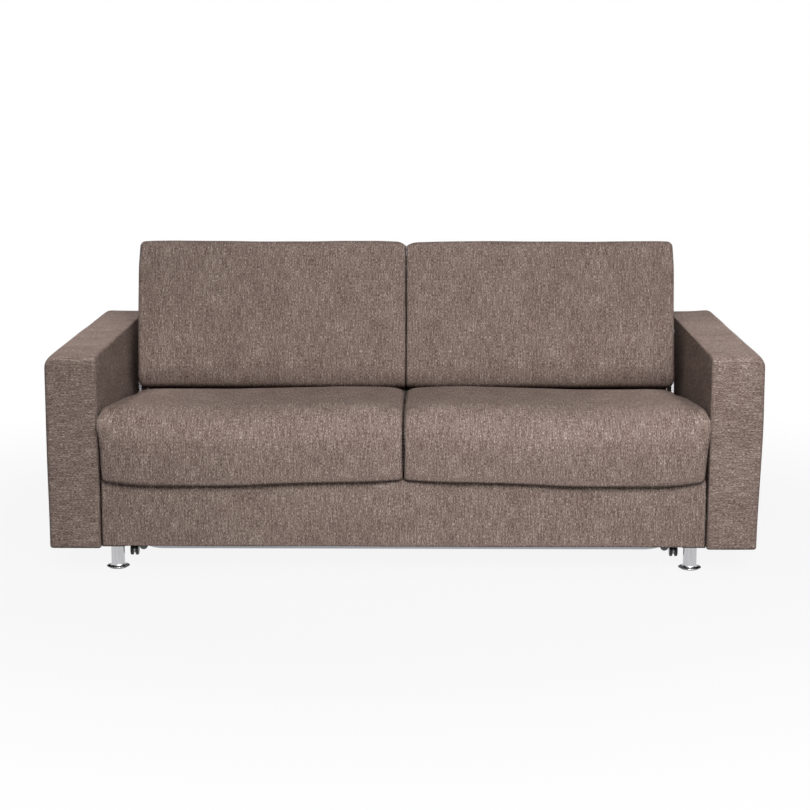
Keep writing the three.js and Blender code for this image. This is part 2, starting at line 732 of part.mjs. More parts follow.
const innerWheelOut = STRIP_IN - WHEEL_SIDE_GAP;
const outerWheelIn = STRIP_OUT + WHEEL_SIDE_GAP;
addPair('wheel_inner', wheel(innerWheelOut - WHEEL_WIDTH, innerWheelOut), 'black');
addPair('wheel_outer', wheel(outerWheelIn, outerWheelIn + WHEEL_WIDTH), 'black');
addPair(
  'wheel_axle',
  pin(AXLE, AXLE_RADIUS, innerWheelOut - WHEEL_WIDTH, outerWheelIn + WHEEL_WIDTH, 12),
  'steel',
);

// Middle section: lies upside down on the head section and carries the seat cushions
const strapFootMiddle = point(FOLD_Y + STRAP_REACH, MIDDLE_TUBE_Z);
const earFootMiddle = point(KNEE_Y - EAR_REACH, MIDDLE_TUBE_Z);
const middleSide = build(
  [
    tube([TUBE_X, headNoseY, MIDDLE_TUBE_Z], [TUBE_X, KNEE_Y - TUBE_END_GAP, MIDDLE_TUBE_Z]),
    strap(FOLD, strapFootMiddle, EYE_RADIUS, STRAP_END_RADIUS, EAR_IN, EAR_OUT),
    pin(strapFootMiddle, BOSS_RADIUS, PLATE_IN - TUBE_WALL, EAR_IN + WELD_DEPTH),
    pin(FOLD, STUD_RADIUS, PLATE_IN - GAP, EAR_IN + WELD_DEPTH),
    strap(KNEE, earFootMiddle, EYE_RADIUS, STRAP_END_RADIUS, PLATE_IN, PLATE_OUT),
  ],
  [bore(KNEE, PLATE_IN, PLATE_OUT)],
);
addPair('middle_side_tube', middleSide, 'silver');
const middleFrontBar = point(headNoseY + CROSS_SETBACK - TUBE_RADIUS, MIDDLE_TUBE_Z);
const middleRearBar = point(KNEE_Y - CROSS_SETBACK, MIDDLE_TUBE_Z);
addPiece('middle_front_bar', crossTube(middleFrontBar), 'silver');
addPiece('middle_rear_bar', crossTube(middleRearBar), 'silver');
addPiece(
  'middle_slats',
  slatDeck(
    middleFrontBar.y + 2 * TUBE_RADIUS,
    middleRearBar.y - 2 * TUBE_RADIUS,
    SLAT_COUNTS.middle,
    (deck) => deck.rotateY(Math.PI).translate(0, 0, MIDDLE_TUBE_Z - deckRise),
  ),
  'beech',
);
const middleMattressLength = MIDDLE_LENGTH - 2 * MATTRESS_END_GAP;
addPiece(
  'mattress_middle',
  mattress(middleMattressLength).translate(
    0,
    FOLD_Y + MATTRESS_END_GAP + middleMattressLength / 2,
    MIDDLE_TUBE_Z - mattressRise,
  ),
  'ticking',
);

// Foot section: stands up behind the back cushions, leaning by the recline
function lean(geometry) {
  geometry.rotateX(-radians(RECLINE));
  return geometry.translate(0, KNEE_Y, MIDDLE_TUBE_Z);
}

const earFootFoot = onFoot(EAR_REACH, 0);
const legStud = pin(FOOT_LEG_TOP, FOOT_STUD_RADIUS, PLATE_IN - TUBE_WALL, FOOT_LEG_OUT + FOOT_STUD_PROUD);
const footSide = build([
  lean(tube([TUBE_X, 0, TUBE_END_GAP], [TUBE_X, 0, FOOT_LENGTH])),
  strap(KNEE, earFootFoot, EYE_RADIUS, STRAP_END_RADIUS, EAR_IN, EAR_OUT),
  pin(earFootFoot, BOSS_RADIUS, PLATE_IN - TUBE_WALL, EAR_IN + WELD_DEPTH),
  pin(KNEE, STUD_RADIUS, PLATE_IN - GAP, EAR_IN + WELD_DEPTH),
  legStud,
]);
addPair('foot_side_tube', footSide, 'silver');
addPiece('foot_lower_bar', lean(crossTube(point(0, CROSS_SETBACK))), 'silver');
addPiece('foot_upper_bar', lean(crossTube(point(0, FOOT_LENGTH - 2 * TUBE_RADIUS))), 'silver');
addPiece(
  'foot_slats',
  slatDeck(
    CROSS_SETBACK + 2 * TUBE_RADIUS,
    FOOT_LENGTH - 4 * TUBE_RADIUS,
    SLAT_COUNTS.foot,
    (deck) => lean(deck.rotateX(Math.PI / 2).rotateZ(Math.PI).translate(0, deckRise, 0)),
  ),
  'beech',
);
const footMattressLength = FOOT_LENGTH - MATTRESS_END_GAP;
addPiece(
  'mattress_foot',
  lean(
    mattress(footMattressLength)
      .rotateX(Math.PI / 2)
      .translate(0, mattressRise, MATTRESS_END_GAP + footMattressLength / 2),
  ),
  'ticking',
);

// Foot legs: flat bars beside the back cushions that turn down under the open bed
const footLegEnd = onFoot(FOOT_LEG_PIVOT - FOOT_LEG_LENGTH + FOOT_LEG_WIDTH / 2, 0);
const footLeg = build(
  [strap(FOOT_LEG_TOP, footLegEnd, FOOT_LEG_EYE_RADIUS, FOOT_LEG_WIDTH / 2, FOOT_LEG_IN, FOOT_LEG_OUT)],
  [pin(FOOT_LEG_TOP, FOOT_STUD_RADIUS + STUD_CLEARANCE, FOOT_LEG_IN - CUT_MARGIN, FOOT_LEG_OUT + CUT_MARGIN)],
);
addPair('foot_leg', footLeg, 'steel');

// Seat cushions: crowned, with a full nose over the apron, and cut back beside the foot legs
const seatBottom = MIDDLE_TUBE_Z + TUBE_RADIUS + GAP;
const backCorner = onFoot(BACK_BOTTOM, -TUBE_RADIUS - GAP - BACK_THICK_BOTTOM);
const seatMeetY = backCorner.y;
const seatMeetZ = backCorner.z - SEAT_BACK_GAP;

// Height of the seat cushion's top: it curls down at the nose, falls to the back cushions, then runs under them
function seatTop(y) {
  const crest = -REAR_Y + BACK_CROWN + SEAT_NOSE_LENGTH;
  if (y < crest) {
    return SEAT_FRONT_TOP - SEAT_NOSE_DROP * ((crest - y) / SEAT_NOSE_LENGTH) ** 2;
  }
  if (y < seatMeetY) {
    return SEAT_FRONT_TOP + ((seatMeetZ - SEAT_FRONT_TOP) * (y - crest)) / (seatMeetY - crest);
  }
  return seatMeetZ - (y - seatMeetY) * Math.tan(radians(RECLINE));
}

function seatCushion() {
  const inner = CUSHION_SPLIT / 2;
  const outer = INNER_HALF - SEAT_SIDE_GAP;
  const width = outer - inner;
  const front = -REAR_Y + BACK_CROWN;
  const length = KNEE_Y - front;
  const height = SEAT_FRONT_TOP - seatBottom;
  const middle = (outer + inner) / 2;
  const geometry = softBlock([width, length, height], SEAT_RADIUS, [8, 7, 2], (p, share) => {
    const across = (share.x + 1) / 2;
    const back = (share.y + 1) / 2;
    const up = (share.z + 1) / 2;
    const rearLimit = KNEE_Y - SEAT_TAIL_DROP * (1 - up);
    const y = front + (rearLimit - front) * back;
    const noseLift = y < FOLD_Y ? SEAT_RELIEF : 0;
    const bottom = seatBottom + noseLift;
    const crown = SEAT_CROWN * swell(share.x) * swell(share.y) * up ** 2;
    const z = bottom + (seatTop(y) - SEAT_CROWN - bottom) * up + crown;
    const bulge = BACK_CROWN * swell(share.x) * swell(share.z) * Math.max(0, -share.y) ** 6;
    const rearCut = Math.min(1, Math.max(0, (y - seatMeetY + SEAT_CUT_START) / SEAT_CUT_LENGTH));
    const draw = (SIDE_GAP - SEAT_SIDE_GAP + SEAT_CUT_MARGIN) * rearCut * across ** 3;
    return new THREE.Vector3(middle + p.x - draw, y - bulge, z);
  });
  return geometry;
}

addPair('seat_cushion', seatCushion(), 'fabric');

// Back cushions: fixed to the front of the foot section, with a soft top and drawn-in sides
function backCushion() {
  const inner = CUSHION_SPLIT / 2;
  const width = BACK_HALF - inner;
  const height = BACK_TOP - BACK_BOTTOM;
  const thick = BACK_THICK_BOTTOM;
  const middle = (BACK_HALF + inner) / 2;
  const front = TUBE_RADIUS + GAP;
  const geometry = softBlock([width, thick, height], BACK_RADIUS, [8, 2, 6], (p, share) => {
    const up = (share.z + 1) / 2;
    const forward = (1 - share.y) / 2;
    const depth = thick + (BACK_THICK_TOP - thick) * up;
    const crown = BACK_CROWN * swell(share.x) * swell(share.z) * forward ** 2;
    const topCrown = TOP_CROWN * swell(share.x) * Math.max(0, share.z) ** 6;
    const drawn = BACK_SIDE_DRAW * share.z ** 2 * Math.sign(p.x) * Math.abs(share.x) ** 6;
    return new THREE.Vector3(
      middle + p.x - drawn,
      -front - depth * forward - crown,
      BACK_BOTTOM + (height - TOP_CROWN) * up + topCrown,
    );
  });
  return lean(geometry);
}

addPair('back_cushion', backCushion(), 'fabric');

export default sofa;
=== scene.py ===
import math

import bmesh
import bpy
import numpy as np
from mathutils import Matrix, Vector, noise


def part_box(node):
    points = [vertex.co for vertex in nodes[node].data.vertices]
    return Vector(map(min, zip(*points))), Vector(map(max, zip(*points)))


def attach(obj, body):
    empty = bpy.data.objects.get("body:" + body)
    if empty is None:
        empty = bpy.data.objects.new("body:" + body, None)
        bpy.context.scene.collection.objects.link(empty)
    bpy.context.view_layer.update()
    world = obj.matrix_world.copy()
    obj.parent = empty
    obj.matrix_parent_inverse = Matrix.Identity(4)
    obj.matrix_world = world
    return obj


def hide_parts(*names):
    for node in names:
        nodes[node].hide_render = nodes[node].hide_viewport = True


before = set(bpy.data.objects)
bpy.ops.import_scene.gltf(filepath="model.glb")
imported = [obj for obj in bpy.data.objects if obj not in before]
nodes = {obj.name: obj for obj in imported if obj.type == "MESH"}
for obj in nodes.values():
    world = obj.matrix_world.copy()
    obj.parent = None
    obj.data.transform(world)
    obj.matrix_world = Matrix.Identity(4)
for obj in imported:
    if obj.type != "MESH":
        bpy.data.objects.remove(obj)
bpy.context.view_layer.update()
scene = bpy.context.scene

# lean of the folded foot section, which carries the back cushions, and the knee that it turns on
RECLINE = math.radians(13)
KNEE = np.array([0.0, 0.1955, 0.2361])
CLOTH_FRAMES = 16
# the threads' wobble comes from noise vectors, which differ from run to run unless they are seeded
noise.seed_set(5)


def low(name):
    return np.array(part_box(name)[0])


def high(name):
    return np.array(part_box(name)[1])


ARM_IN = low("arm_right")[0]
ARM_OUT = high("arm_right")[0]
ARM_FRONT = low("arm_right")[1]
ARM_BACK = high("arm_right")[1]
ARM_LOW = low("arm_right")[2]
ARM_TOP = high("arm_right")[2]


# materials
def new_material(name):
    mat = bpy.data.materials.new(name)
    mat.use_nodes = True
    tree = mat.node_tree
    bsdf = tree.nodes["Principled BSDF"]
    return mat, tree, bsdf


def add(tree, kind, **values):
    node = tree.nodes.new(kind)
    for key, value in values.items():
        if key in node.inputs:
            node.inputs[key].default_value = value
        else:
            setattr(node, key, value)
    return node


def set_inputs(node, values):
    for key, value in values.items():
        node.inputs[key].default_value = value


def link(tree, a, out, b, into):
    tree.links.new(a.outputs[out], b.inputs[into])


def rgb(r, g, b):
    def linear(c):
        c = c / 255.0
        return c / 12.92 if c <= 0.04045 else ((c + 0.055) / 1.055) ** 2.4
    return (linear(r), linear(g), linear(b), 1.0)


def ramp(tree, stops):
    node = tree.nodes.new("ShaderNodeValToRGB")
    while len(node.color_ramp.elements) < len(stops):
        node.color_ramp.elements.new(0.5)
    for element, (pos, colour) in zip(node.color_ramp.elements, stops):
        element.position = pos
        element.color = colour
    return node


def scaled(tree, source, x, y, z=1.0, out=0):
    node = add(tree, "ShaderNodeMapping")
    node.inputs["Scale"].default_value = (x, y, z)
    link(tree, source, out, node, "Vector")
    return node


def texture(tree, kind, source, out=0, **values):
    """A texture node that reads its place from source."""
    node = add(tree, kind, **values)
    link(tree, source, out, node, "Vector")
    return node


def mixed(tree, share, a, b):
    """Two plain values, mixed by a fixed share of the second."""
    node = add(tree, "ShaderNodeMix", data_type="FLOAT")
    node.inputs[0].default_value = share
    link(tree, a, 0, node, 2)
    link(tree, b, 0, node, 3)
    return node


def arithmetic(tree, operation, a, b, out_a=0, out_b=0):
    """One step of arithmetic. b is a node, or a plain number."""
    node = add(tree, "ShaderNodeMath", operation=operation)
    link(tree, a, out_a, node, 0)
    if isinstance(b, float):
        node.inputs[1].default_value = b
    else:
        link(tree, b, out_b, node, 1)
    return node


def relief(tree, height, strength, distance, under=None):
    """A bump node, over another one if under is given."""
    node = add(tree, "ShaderNodeBump", Strength=strength, Distance=distance)
    link(tree, height, 0, node, "Height")
    if under:
        link(tree, under, 0, node, "Normal")
    return node


DARK_YARN = rgb(84, 68, 61)
MID_YARN = rgb(120, 103, 96)
LIGHT_YARN = rgb(142, 126, 118)
PALE_YARN = rgb(186, 173, 163)
BLACK_STOP = (0, 0, 0, 1)
WHITE_STOP = (1, 1, 1, 1)
# sockets of a Mix node that is set to colours
MIX_COLOUR_A, MIX_COLOUR_B, MIX_COLOUR_OUT = 6, 7, 2


def melange(name):
    """Melange upholstery. The weave map holds metres: u across the grain, v along it."""
    mat, tree, bsdf = new_material(name)
    uv = add(tree, "ShaderNodeUVMap", uv_map="weave")
    # short yarn flecks that run along the grain, longer faint streaks, and a slow drift of tone
    noises = {}
    for key, across, along, detail, roughness in (
        ("fleck", 470, 140, 3.0, 0.8),
        ("streak", 240, 26, 2.0, 0.5),
        ("drift", 16, 6, 2.0, 0.5),
        ("yarn", 780, 210, 1.0, 0.5),
    ):
        place = scaled(tree, uv, across, along)
        noises[key] = texture(
            tree, "ShaderNodeTexNoise", place, Scale=1.0, Detail=detail, Roughness=roughness)
    ground = mixed(tree, 0.07, mixed(tree, 0.25, noises["fleck"], noises["streak"]), noises["drift"])
    stretch = add(tree, "ShaderNodeMapRange")
    set_inputs(stretch, {"From Min": 0.38, "From Max": 0.62})
    link(tree, ground, 0, stretch, "Value")
    tones = ramp(tree, [(0.12, DARK_YARN), (0.46, MID_YARN), (0.72, LIGHT_YARN), (0.98, PALE_YARN)])
    link(tree, stretch, 0, tones, "Fac")
    # single pale and dark yarns that catch the eye
    below, out = tones, 0
    for colour, share, start, end in (
        (PALE_YARN, 0.6, (0.64, BLACK_STOP), (0.74, WHITE_STOP)),
        (DARK_YARN, 0.75, (0.30, WHITE_STOP), (0.41, BLACK_STOP)),
    ):
        chosen = ramp(tree, [start, end])
        link(tree, noises["yarn"], 0, chosen, "Fac")
        over = add(tree, "ShaderNodeMix", data_type="RGBA")
        link(tree, arithmetic(tree, "MULTIPLY", chosen, share), 0, over, 0)
        link(tree, below, out, over, MIX_COLOUR_A)
        over.inputs[MIX_COLOUR_B].default_value = colour
        below, out = over, MIX_COLOUR_OUT
    link(tree, below, out, bsdf, "Base Color")
    # plain weave relief at a pitch of a few millimetres, broken up by the flecks
    threads = []
    for bands, across, along in (("X", 150, 60), ("Y", 60, 130)):
        place = scaled(tree, uv, across, along)
        threads.append(texture(
            tree, "ShaderNodeTexWave", place, Scale=1.0, Distortion=1.2, Detail=1.0,
            bands_direction=bands))
    height = arithmetic(tree, "MAXIMUM", threads[0], threads[1], "Fac", "Fac")
    uneven = arithmetic(tree, "ADD", height, noises["fleck"])
    link(tree, relief(tree, uneven, 0.5, 0.0006), 0, bsdf, "Normal")
    set_inputs(bsdf, {
        "Roughness": 0.95, "Specular IOR Level": 0.06,
        "Sheen Weight": 0.02, "Sheen Roughness": 0.5, "Sheen Tint": (0.75, 0.6, 0.52, 1),
    })
    return mat


def ticking(name):
    """White mattress cover with a fine damask of diamonds and soft quilting."""
    mat, tree, bsdf = new_material(name)
    uv = add(tree, "ShaderNodeUVMap", uv_map="weave")
    turn = add(tree, "ShaderNodeMapping")
    set_inputs(turn, {"Rotation": (0, 0, math.radians(45)), "Scale": (9, 9, 1)})
    link(tree, uv, 0, turn, "Vector")
    rows, columns = (
        texture(tree, "ShaderNodeTexWave", turn, Scale=1.0, Distortion=0.0, bands_direction=bands)
        for bands in ("X", "Y"))
    quilt = arithmetic(tree, "POWER", arithmetic(tree, "MULTIPLY", rows, columns, "Fac", "Fac"), 0.35)
    grain = texture(tree, "ShaderNodeTexNoise", uv, Scale=700.0, Detail=2.0)
    tones = ramp(tree, [(0.3, rgb(206, 202, 192)), (0.7, rgb(226, 223, 214))])
    link(tree, grain, 0, tones, "Fac")
    link(tree, tones, 0, bsdf, "Base Color")
    fine = relief(tree, grain, 0.3, 0.0004, relief(tree, quilt, 0.9, 0.004))
    link(tree, fine, 0, bsdf, "Normal")
    set_inputs(bsdf, {"Roughness": 0.85, "Sheen Weight": 0.15})
    return mat


def vary_roughness(tree, source, bsdf, lowest, highest):
    spread = add(tree, "ShaderNodeMapRange")
    set_inputs(spread, {"To Min": lowest, "To Max": highest})
    link(tree, source, 0, spread, "Value")
    link(tree, spread, 0, bsdf, "Roughness")


def metal(name, colour, roughness, metallic, stretch, depth, wear):
    """Brushed or painted metal. Streaks along the stretch change tone, roughness and relief."""
    mat, tree, bsdf = new_material(name)
    mapped = scaled(tree, add(tree, "ShaderNodeTexCoord"), *stretch, out="Object")
    brush = texture(tree, "ShaderNodeTexNoise", mapped, Scale=1.0, Detail=4.0, Roughness=0.6)
    low_tone = tuple(c * (1 - wear * 2) for c in colour[:3]) + (1.0,)
    high_tone = tuple(min(1.0, c * (1 + wear)) for c in colour[:3]) + (1.0,)
    tones = ramp(tree, [(0.35, low_tone), (0.65, high_tone)])
    link(tree, brush, 0, tones, "Fac")
    link(tree, tones, 0, bsdf, "Base Color")
    vary_roughness(tree, brush, bsdf, max(0.02, roughness - 0.07), roughness + 0.09)
    link(tree, relief(tree, brush, 0.4, depth), 0, bsdf, "Normal")
    bsdf.inputs["Metallic"].default_value = metallic
    return mat


def plastic(name, colour, roughness):
    """Moulded plastic with a fine spark texture and faint scuffs."""
    mat, tree, bsdf = new_material(name)
    place = add(tree, "ShaderNodeTexCoord")
    grain = texture(tree, "ShaderNodeTexNoise", place, "Object", Scale=900.0, Detail=2.0)
    scuff = texture(tree, "ShaderNodeTexNoise", place, "Object", Scale=60.0, Detail=4.0)
    light = tuple(min(1.0, c * 1.25 + 0.004) for c in colour[:3]) + (1.0,)
    tones = ramp(tree, [(0.4, colour), (0.75, light)])
    link(tree, scuff, 0, tones, "Fac")
    link(tree, tones, 0, bsdf, "Base Color")
    vary_roughness(tree, scuff, bsdf, roughness - 0.08, roughness + 0.12)
    link(tree, relief(tree, grain, 0.35, 0.00008), 0, bsdf, "Normal")
    return mat


def wood(name, dark, light, axis, gloss):
    """Wood with growth rings that run along one axis, pores and a thin lacquer."""
    mat, tree, bsdf = new_material(name)
    stretch = (1.2, 26, 26) if axis == "x" else (26, 1.2, 26)
    mapped = scaled(tree, add(tree, "ShaderNodeTexCoord"), *stretch, out="Object")
    figure = texture(
        tree, "ShaderNodeTexNoise", mapped, Scale=1.0, Detail=5.0, Roughness=0.6, Distortion=1.1)
    pores = texture(tree, "ShaderNodeTexNoise", mapped, Scale=9.0, Detail=3.0)
    tones = ramp(tree, [(0.32, dark), (0.5, light), (0.62, dark), (0.78, light)])
    link(tree, figure, 0, tones, "Fac")
    link(tree, tones, 0, bsdf, "Base Color")
    link(tree, relief(tree, pores, 0.3, 0.0003), 0, bsdf, "Normal")
    bsdf.inputs["Roughness"].default_value = gloss
    return mat


FABRIC = melange("melange_fabric")
TICKING = ticking("mattress_ticking")
CHROME = metal("satin_chrome", rgb(196, 196, 198), 0.24, 1.0, (260, 260, 12), 0.00002, 0.04)
SILVER = metal("silver_paint", rgb(176, 177, 182), 0.38, 0.75, (60, 60, 60), 0.00003, 0.03)
STEEL = metal("link_steel", rgb(150, 152, 155), 0.36, 0.9, (30, 300, 30), 0.00004, 0.05)
BLACK = plastic("black_plastic", rgb(30, 30, 31), 0.45)
GREY = plastic("grey_plastic", rgb(126, 127, 130), 0.5)
BLOCK = wood("block_stained", rgb(46, 36, 30), rgb(66, 52, 43), "y", 0.7)
SLAT = wood("slat_beech", rgb(196, 158, 112), rgb(222, 190, 146), "x", 0.4)
# the dark thread of the seams; the same dark colour also fills the back cushions' split as painted
# shade
THREAD_AND_SPLIT_SHADE = plastic("seam_thread_and_split_shade", rgb(30, 21, 17), 0.9)


# mesh tools
SMALLEST_RADIUS = 0.0012
# keeps the weave of top faces from repeating that of the faces beside them
TOP_SHIFT = {"up": 3.1, "across": 2.3}


def rounded_outline(corners, radii, inset, arc, lengths):
    """A closed outline with rounded corners, moved inwards by inset. A radius of None keeps one
    plain point. The count of points is even, and doesn't depend on the inset."""
    pts = [np.array(c, float) for c in corners]
    count = len(pts)
    moved = []
    for i in range(count):
        a, b, c = pts[i - 1], pts[i], pts[(i + 1) % count]
        d1 = (b - a) / np.linalg.norm(b - a)
        d2 = (c - b) / np.linalg.norm(c - b)
        n1 = np.array([-d1[1], d1[0]])
        n2 = np.array([-d2[1], d2[0]])
        moved.append(b + inset * (n1 + n2) / (1 + n1 @ n2))
    out = []
    for i in range(count):
        a, b, c = moved[i - 1], moved[i], moved[(i + 1) % count]
        if radii[i] is None:
            out.append([b])
            continue
        d1 = (b - a) / np.linalg.norm(b - a)
        d2 = (c - b) / np.linalg.norm(c - b)
        turn = math.acos(max(-1, min(1, float(d1 @ d2))))
        radius = max(SMALLEST_RADIUS, radii[i] - inset)
        start = b - d1 * radius * math.tan(turn / 2)
        normal = np.array([-d1[1], d1[0]])
        centre = start + normal * radius
        steps = [turn * k / arc for k in range(arc + 1)]
        out.append([centre - normal * radius * math.cos(t) + d1 * radius * math.sin(t) for t in steps])
    result = []
    for i in range(count):
        result.extend(out[i])
        nxt = out[(i + 1) % count][0]
        here = out[i][-1]
        for k in range(1, lengths[i]):
            result.append(here + (nxt - here) * k / lengths[i])
    if len(result) % 2:
        result.append((result[-1] + result[0]) / 2)
    return np.array(result)


def steps_for(corners, spacing, fine):
    """Steps along each side of an outline. fine gives a closer spacing for some sides."""
    lengths = []
    for i, here in enumerate(corners):
        run = np.linalg.norm(np.array(corners[(i + 1) % len(corners)]) - np.array(here))
        lengths.append(max(2, int(round(run / fine.get(i, spacing)))))
    return lengths


def end_stations(lo, hi, r_lo, r_hi, spacing, arc=6, dense=0.0):
    """Positions and insets from one rounded end to the other.
    The first part, up to dense, has closer steps."""
    out = []
    for k in range(arc + 1):
        t = math.pi / 2 * k / arc
        out.append((lo + r_lo * (1 - math.cos(t)), r_lo * (1 - math.sin(t))))
    first, last = lo + r_lo, hi - r_hi
    if dense:
        count = int(round(dense / (spacing * 0.45)))
        out.extend((first + dense * k / count, 0.0) for k in range(1, count + 1))
        first += dense
    count = max(2, int(round((last - first) / spacing)))
    out.extend((first + (last - first) * k / count, 0.0) for k in range(1, count))
    for k in range(arc + 1):
        t = math.pi / 2 * k / arc
        out.append((last + r_hi * math.sin(t), r_hi * (1 - math.cos(t))))
    return out


def loft(corners, radii, stations, place, spacing, arc, rings, fine=None):
    """Skins an outline along stations of (position, inset), and closes both ends with shrinking
    rings and a ladder of quads. place(position, a, b) gives the point in the scene. The result is
    points, faces and the weave map in metres."""
    lengths = steps_for(corners, spacing, fine or {})
    rows = []
    for position, inset in stations:
        pts = rounded_outline(corners, radii, inset, arc, lengths)
        rows.append([(position, p[0], p[1]) for p in pts])
    n = len(rows[0])
    middle = np.array(rows[len(rows) // 2])[:, 1:]
    loop = np.vstack([middle, middle[:1]])
    around = np.r_[0, np.cumsum(np.linalg.norm(np.diff(loop, axis=0), axis=1))]
    along = [0.0]
    for k in range(1, len(stations)):
        step = math.hypot(stations[k][0] - stations[k - 1][0], stations[k][1] - stations[k - 1][1])
        along.append(along[-1] + step)
    lead, tail = [], []
    for ring in range(1, rings + 1):
        share = 1 - ring / (rings + 1)
        for source, target in ((rows[0], lead), (rows[-1], tail)):
            arr = np.array(source)
            centre = arr.mean(0)
            target.append([tuple(centre + (p - centre) * share) for p in arr])
    skin = range(len(lead), len(lead) + len(rows) - 1)
    rows = list(reversed(lead)) + rows + tail
    verts = [place(*p) for row in rows for p in row]
    faces, uvs = [], []
    for r in range(len(rows) - 1):
        for i in range(n):
            j = (i + 1) % n
            faces.append((r * n + i, r * n + j, (r + 1) * n + j, (r + 1) * n + i))
            if r in skin:
                u0, u1 = along[r - len(lead)], along[r - len(lead) + 1]
                uvs.append(((u0, around[i]), (u0, around[i + 1]), (u1, around[i + 1]), (u1, around[i])))
            else:
                uvs.append([rows[k][m][1:] for k, m in ((r, i), (r, j), (r + 1, j), (r + 1, i))])
    for row, flip in ((0, True), (len(rows) - 1, False)):
        for i in range(n // 2 - 1):
            spots = (i, i + 1, n - 2 - i, n - 1 - i)
            spots = tuple(reversed(spots)) if flip else spots
            faces.append(tuple(row * n + k for k in spots))
            uvs.append([rows[row][k][1:] for k in spots])
    return np.array(verts, float), faces, uvs


def make_object(name, verts, faces, material, uvs=None):
    mesh = bpy.data.meshes.new(name)
    mesh.from_pydata([tuple(v) for v in verts], [], faces)
    mesh.update()
    if uvs:
        layer = mesh.uv_layers.new(name="weave")
        layer.data.foreach_set("uv", np.array([c for face in uvs for c in face], np.float32).ravel())
    fix_normals(mesh)
    mesh.shade_smooth()
    obj = bpy.data.objects.new(name, mesh)
    scene.collection.objects.link(obj)
    obj.data.materials.append(material)
    return obj


def fix_normals(mesh):
    bm = bmesh.new()
    bm.from_mesh(mesh)
    bmesh.ops.recalc_face_normals(bm, faces=bm.faces)
    bm.to_mesh(mesh)
    bm.free()


def vertex_normals(obj):
    count = len(obj.data.vertices)
    out = np.zeros(count * 3, np.float32)
    obj.data.vertices.foreach_get("normal", out)
    return out.reshape(-1, 3).astype(float)


def coordinates(obj):
    count = len(obj.data.vertices)
    out = np.zeros(count * 3, np.float32)
    obj.data.vertices.foreach_get("co", out)
    return out.reshape(-1, 3).astype(float)


def set_coordinates(obj, co):
    obj.data.vertices.foreach_set("co", np.asarray(co, np.float32).ravel())
    obj.data.update()


def wave_field(co, scale, seed):
    """A smooth random value for each point. scale gives the waves per metre along each axis."""
    shift = (seed, -seed, 2 * seed)
    return np.array([noise.noise(Vector([p[k] * scale[k] + shift[k] for k in range(3)])) for p in co])


def weave_uv(obj, grain):
    """Writes the weave map in metres, from the way each face looks. The grain runs up the rear
    panel ("up"), and across the arms ("across")."""
    mesh = obj.data
    layer = mesh.uv_layers.new(name="weave")
    count = len(mesh.loops)
    vert = np.zeros(count, np.int32)
    mesh.loops.foreach_get("vertex_index", vert)
    co = coordinates(obj)[vert]
    face_of = np.zeros(count, np.int32)
    normals = np.zeros((len(mesh.polygons), 3))
    for poly in mesh.polygons:
        face_of[poly.loop_start:poly.loop_start + poly.loop_total] = poly.index
        normals[poly.index] = poly.normal
    n = normals[face_of]
    lead = np.abs(n)
    side = (lead[:, 0] > lead[:, 1] * 1.05) & (lead[:, 0] > lead[:, 2] * 1.05)
    top = ~side & (lead[:, 2] > lead[:, 1] * 1.15)
    front = ~side & ~top
    uv = np.zeros((count, 2))
    x, y, z = co[:, 0], co[:, 1], co[:, 2]
    if grain == "up":
        uv[front] = np.c_[x, z][front]
        uv[top] = np.c_[x, y + TOP_SHIFT["up"]][top]
        uv[side] = np.c_[y, z][side]
    else:
        uv[front] = np.c_[z, x][front]
        uv[top] = np.c_[y, x + TOP_SHIFT["across"]][top]
        uv[side] = np.c_[z, y][side]
    layer.data.foreach_set("uv", uv.astype(np.float32).ravel())


def smooth(value):
    value = np.clip(value, 0, 1)
    return value * value * (3 - 2 * value)


def inflate(obj, pressure, cap, held):
    """Lets the cover billow under the filling's pressure, by no more than cap. held is 1 where it
    rests on something, and 0 where it is free."""
    start = coordinates(obj)
    group = obj.vertex_groups.new(name="held")
    for index in np.nonzero(held > 0.02)[0]:
        group.add([int(index)], float(min(1.0, held[index])), "REPLACE")
    mod = obj.modifiers.new("cloth", "CLOTH")
    cloth = mod.settings
    cloth.quality = 5
    cloth.mass = 0.3
    cloth.tension_stiffness = 12
    cloth.compression_stiffness = 12
    cloth.shear_stiffness = 6
    cloth.bending_stiffness = 0.6
    cloth.use_pressure = True
    cloth.uniform_pressure_force = pressure
    cloth.effector_weights.gravity = 0
    cloth.vertex_group_mass = "held"
    mod.collision_settings.use_collision = False
    mod.point_cache.frame_start = 1
    mod.point_cache.frame_end = CLOTH_FRAMES
    for step in range(1, CLOTH_FRAMES + 1):
        scene.frame_set(step)
    shaped = obj.evaluated_get(bpy.context.evaluated_depsgraph_get())
    mesh = shaped.to_mesh()
    end = np.zeros(len(mesh.vertices) * 3, np.float32)
    mesh.vertices.foreach_get("co", end)
    shaped.to_mesh_clear()
    obj.modifiers.remove(mod)
    obj.vertex_groups.remove(group)
    scene.frame_set(1)
    move = end.reshape(-1, 3).astype(float) - start
    reach = np.linalg.norm(move, axis=1)
    far = np.maximum(reach, 1e-9)
    capped = cap * np.tanh(reach / cap)
    move *= (capped / far * (1 - np.clip(held, 0, 1)))[:, None]
    set_coordinates(obj, start + move)


def finish_soft(obj, body, node):
    """Smooths a cover that stands for a CAD node, hides the node and attaches the cover to a body."""
    sub = obj.modifiers.new("subdivision", "SUBSURF")
    sub.levels = 1
    sub.render_levels = 1
    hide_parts(node)
    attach(obj, body)


def add_trim(obj, body):
    """A seam, thread or strip of painted shade: a piece of its own, attached to a body."""
    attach(obj, body)


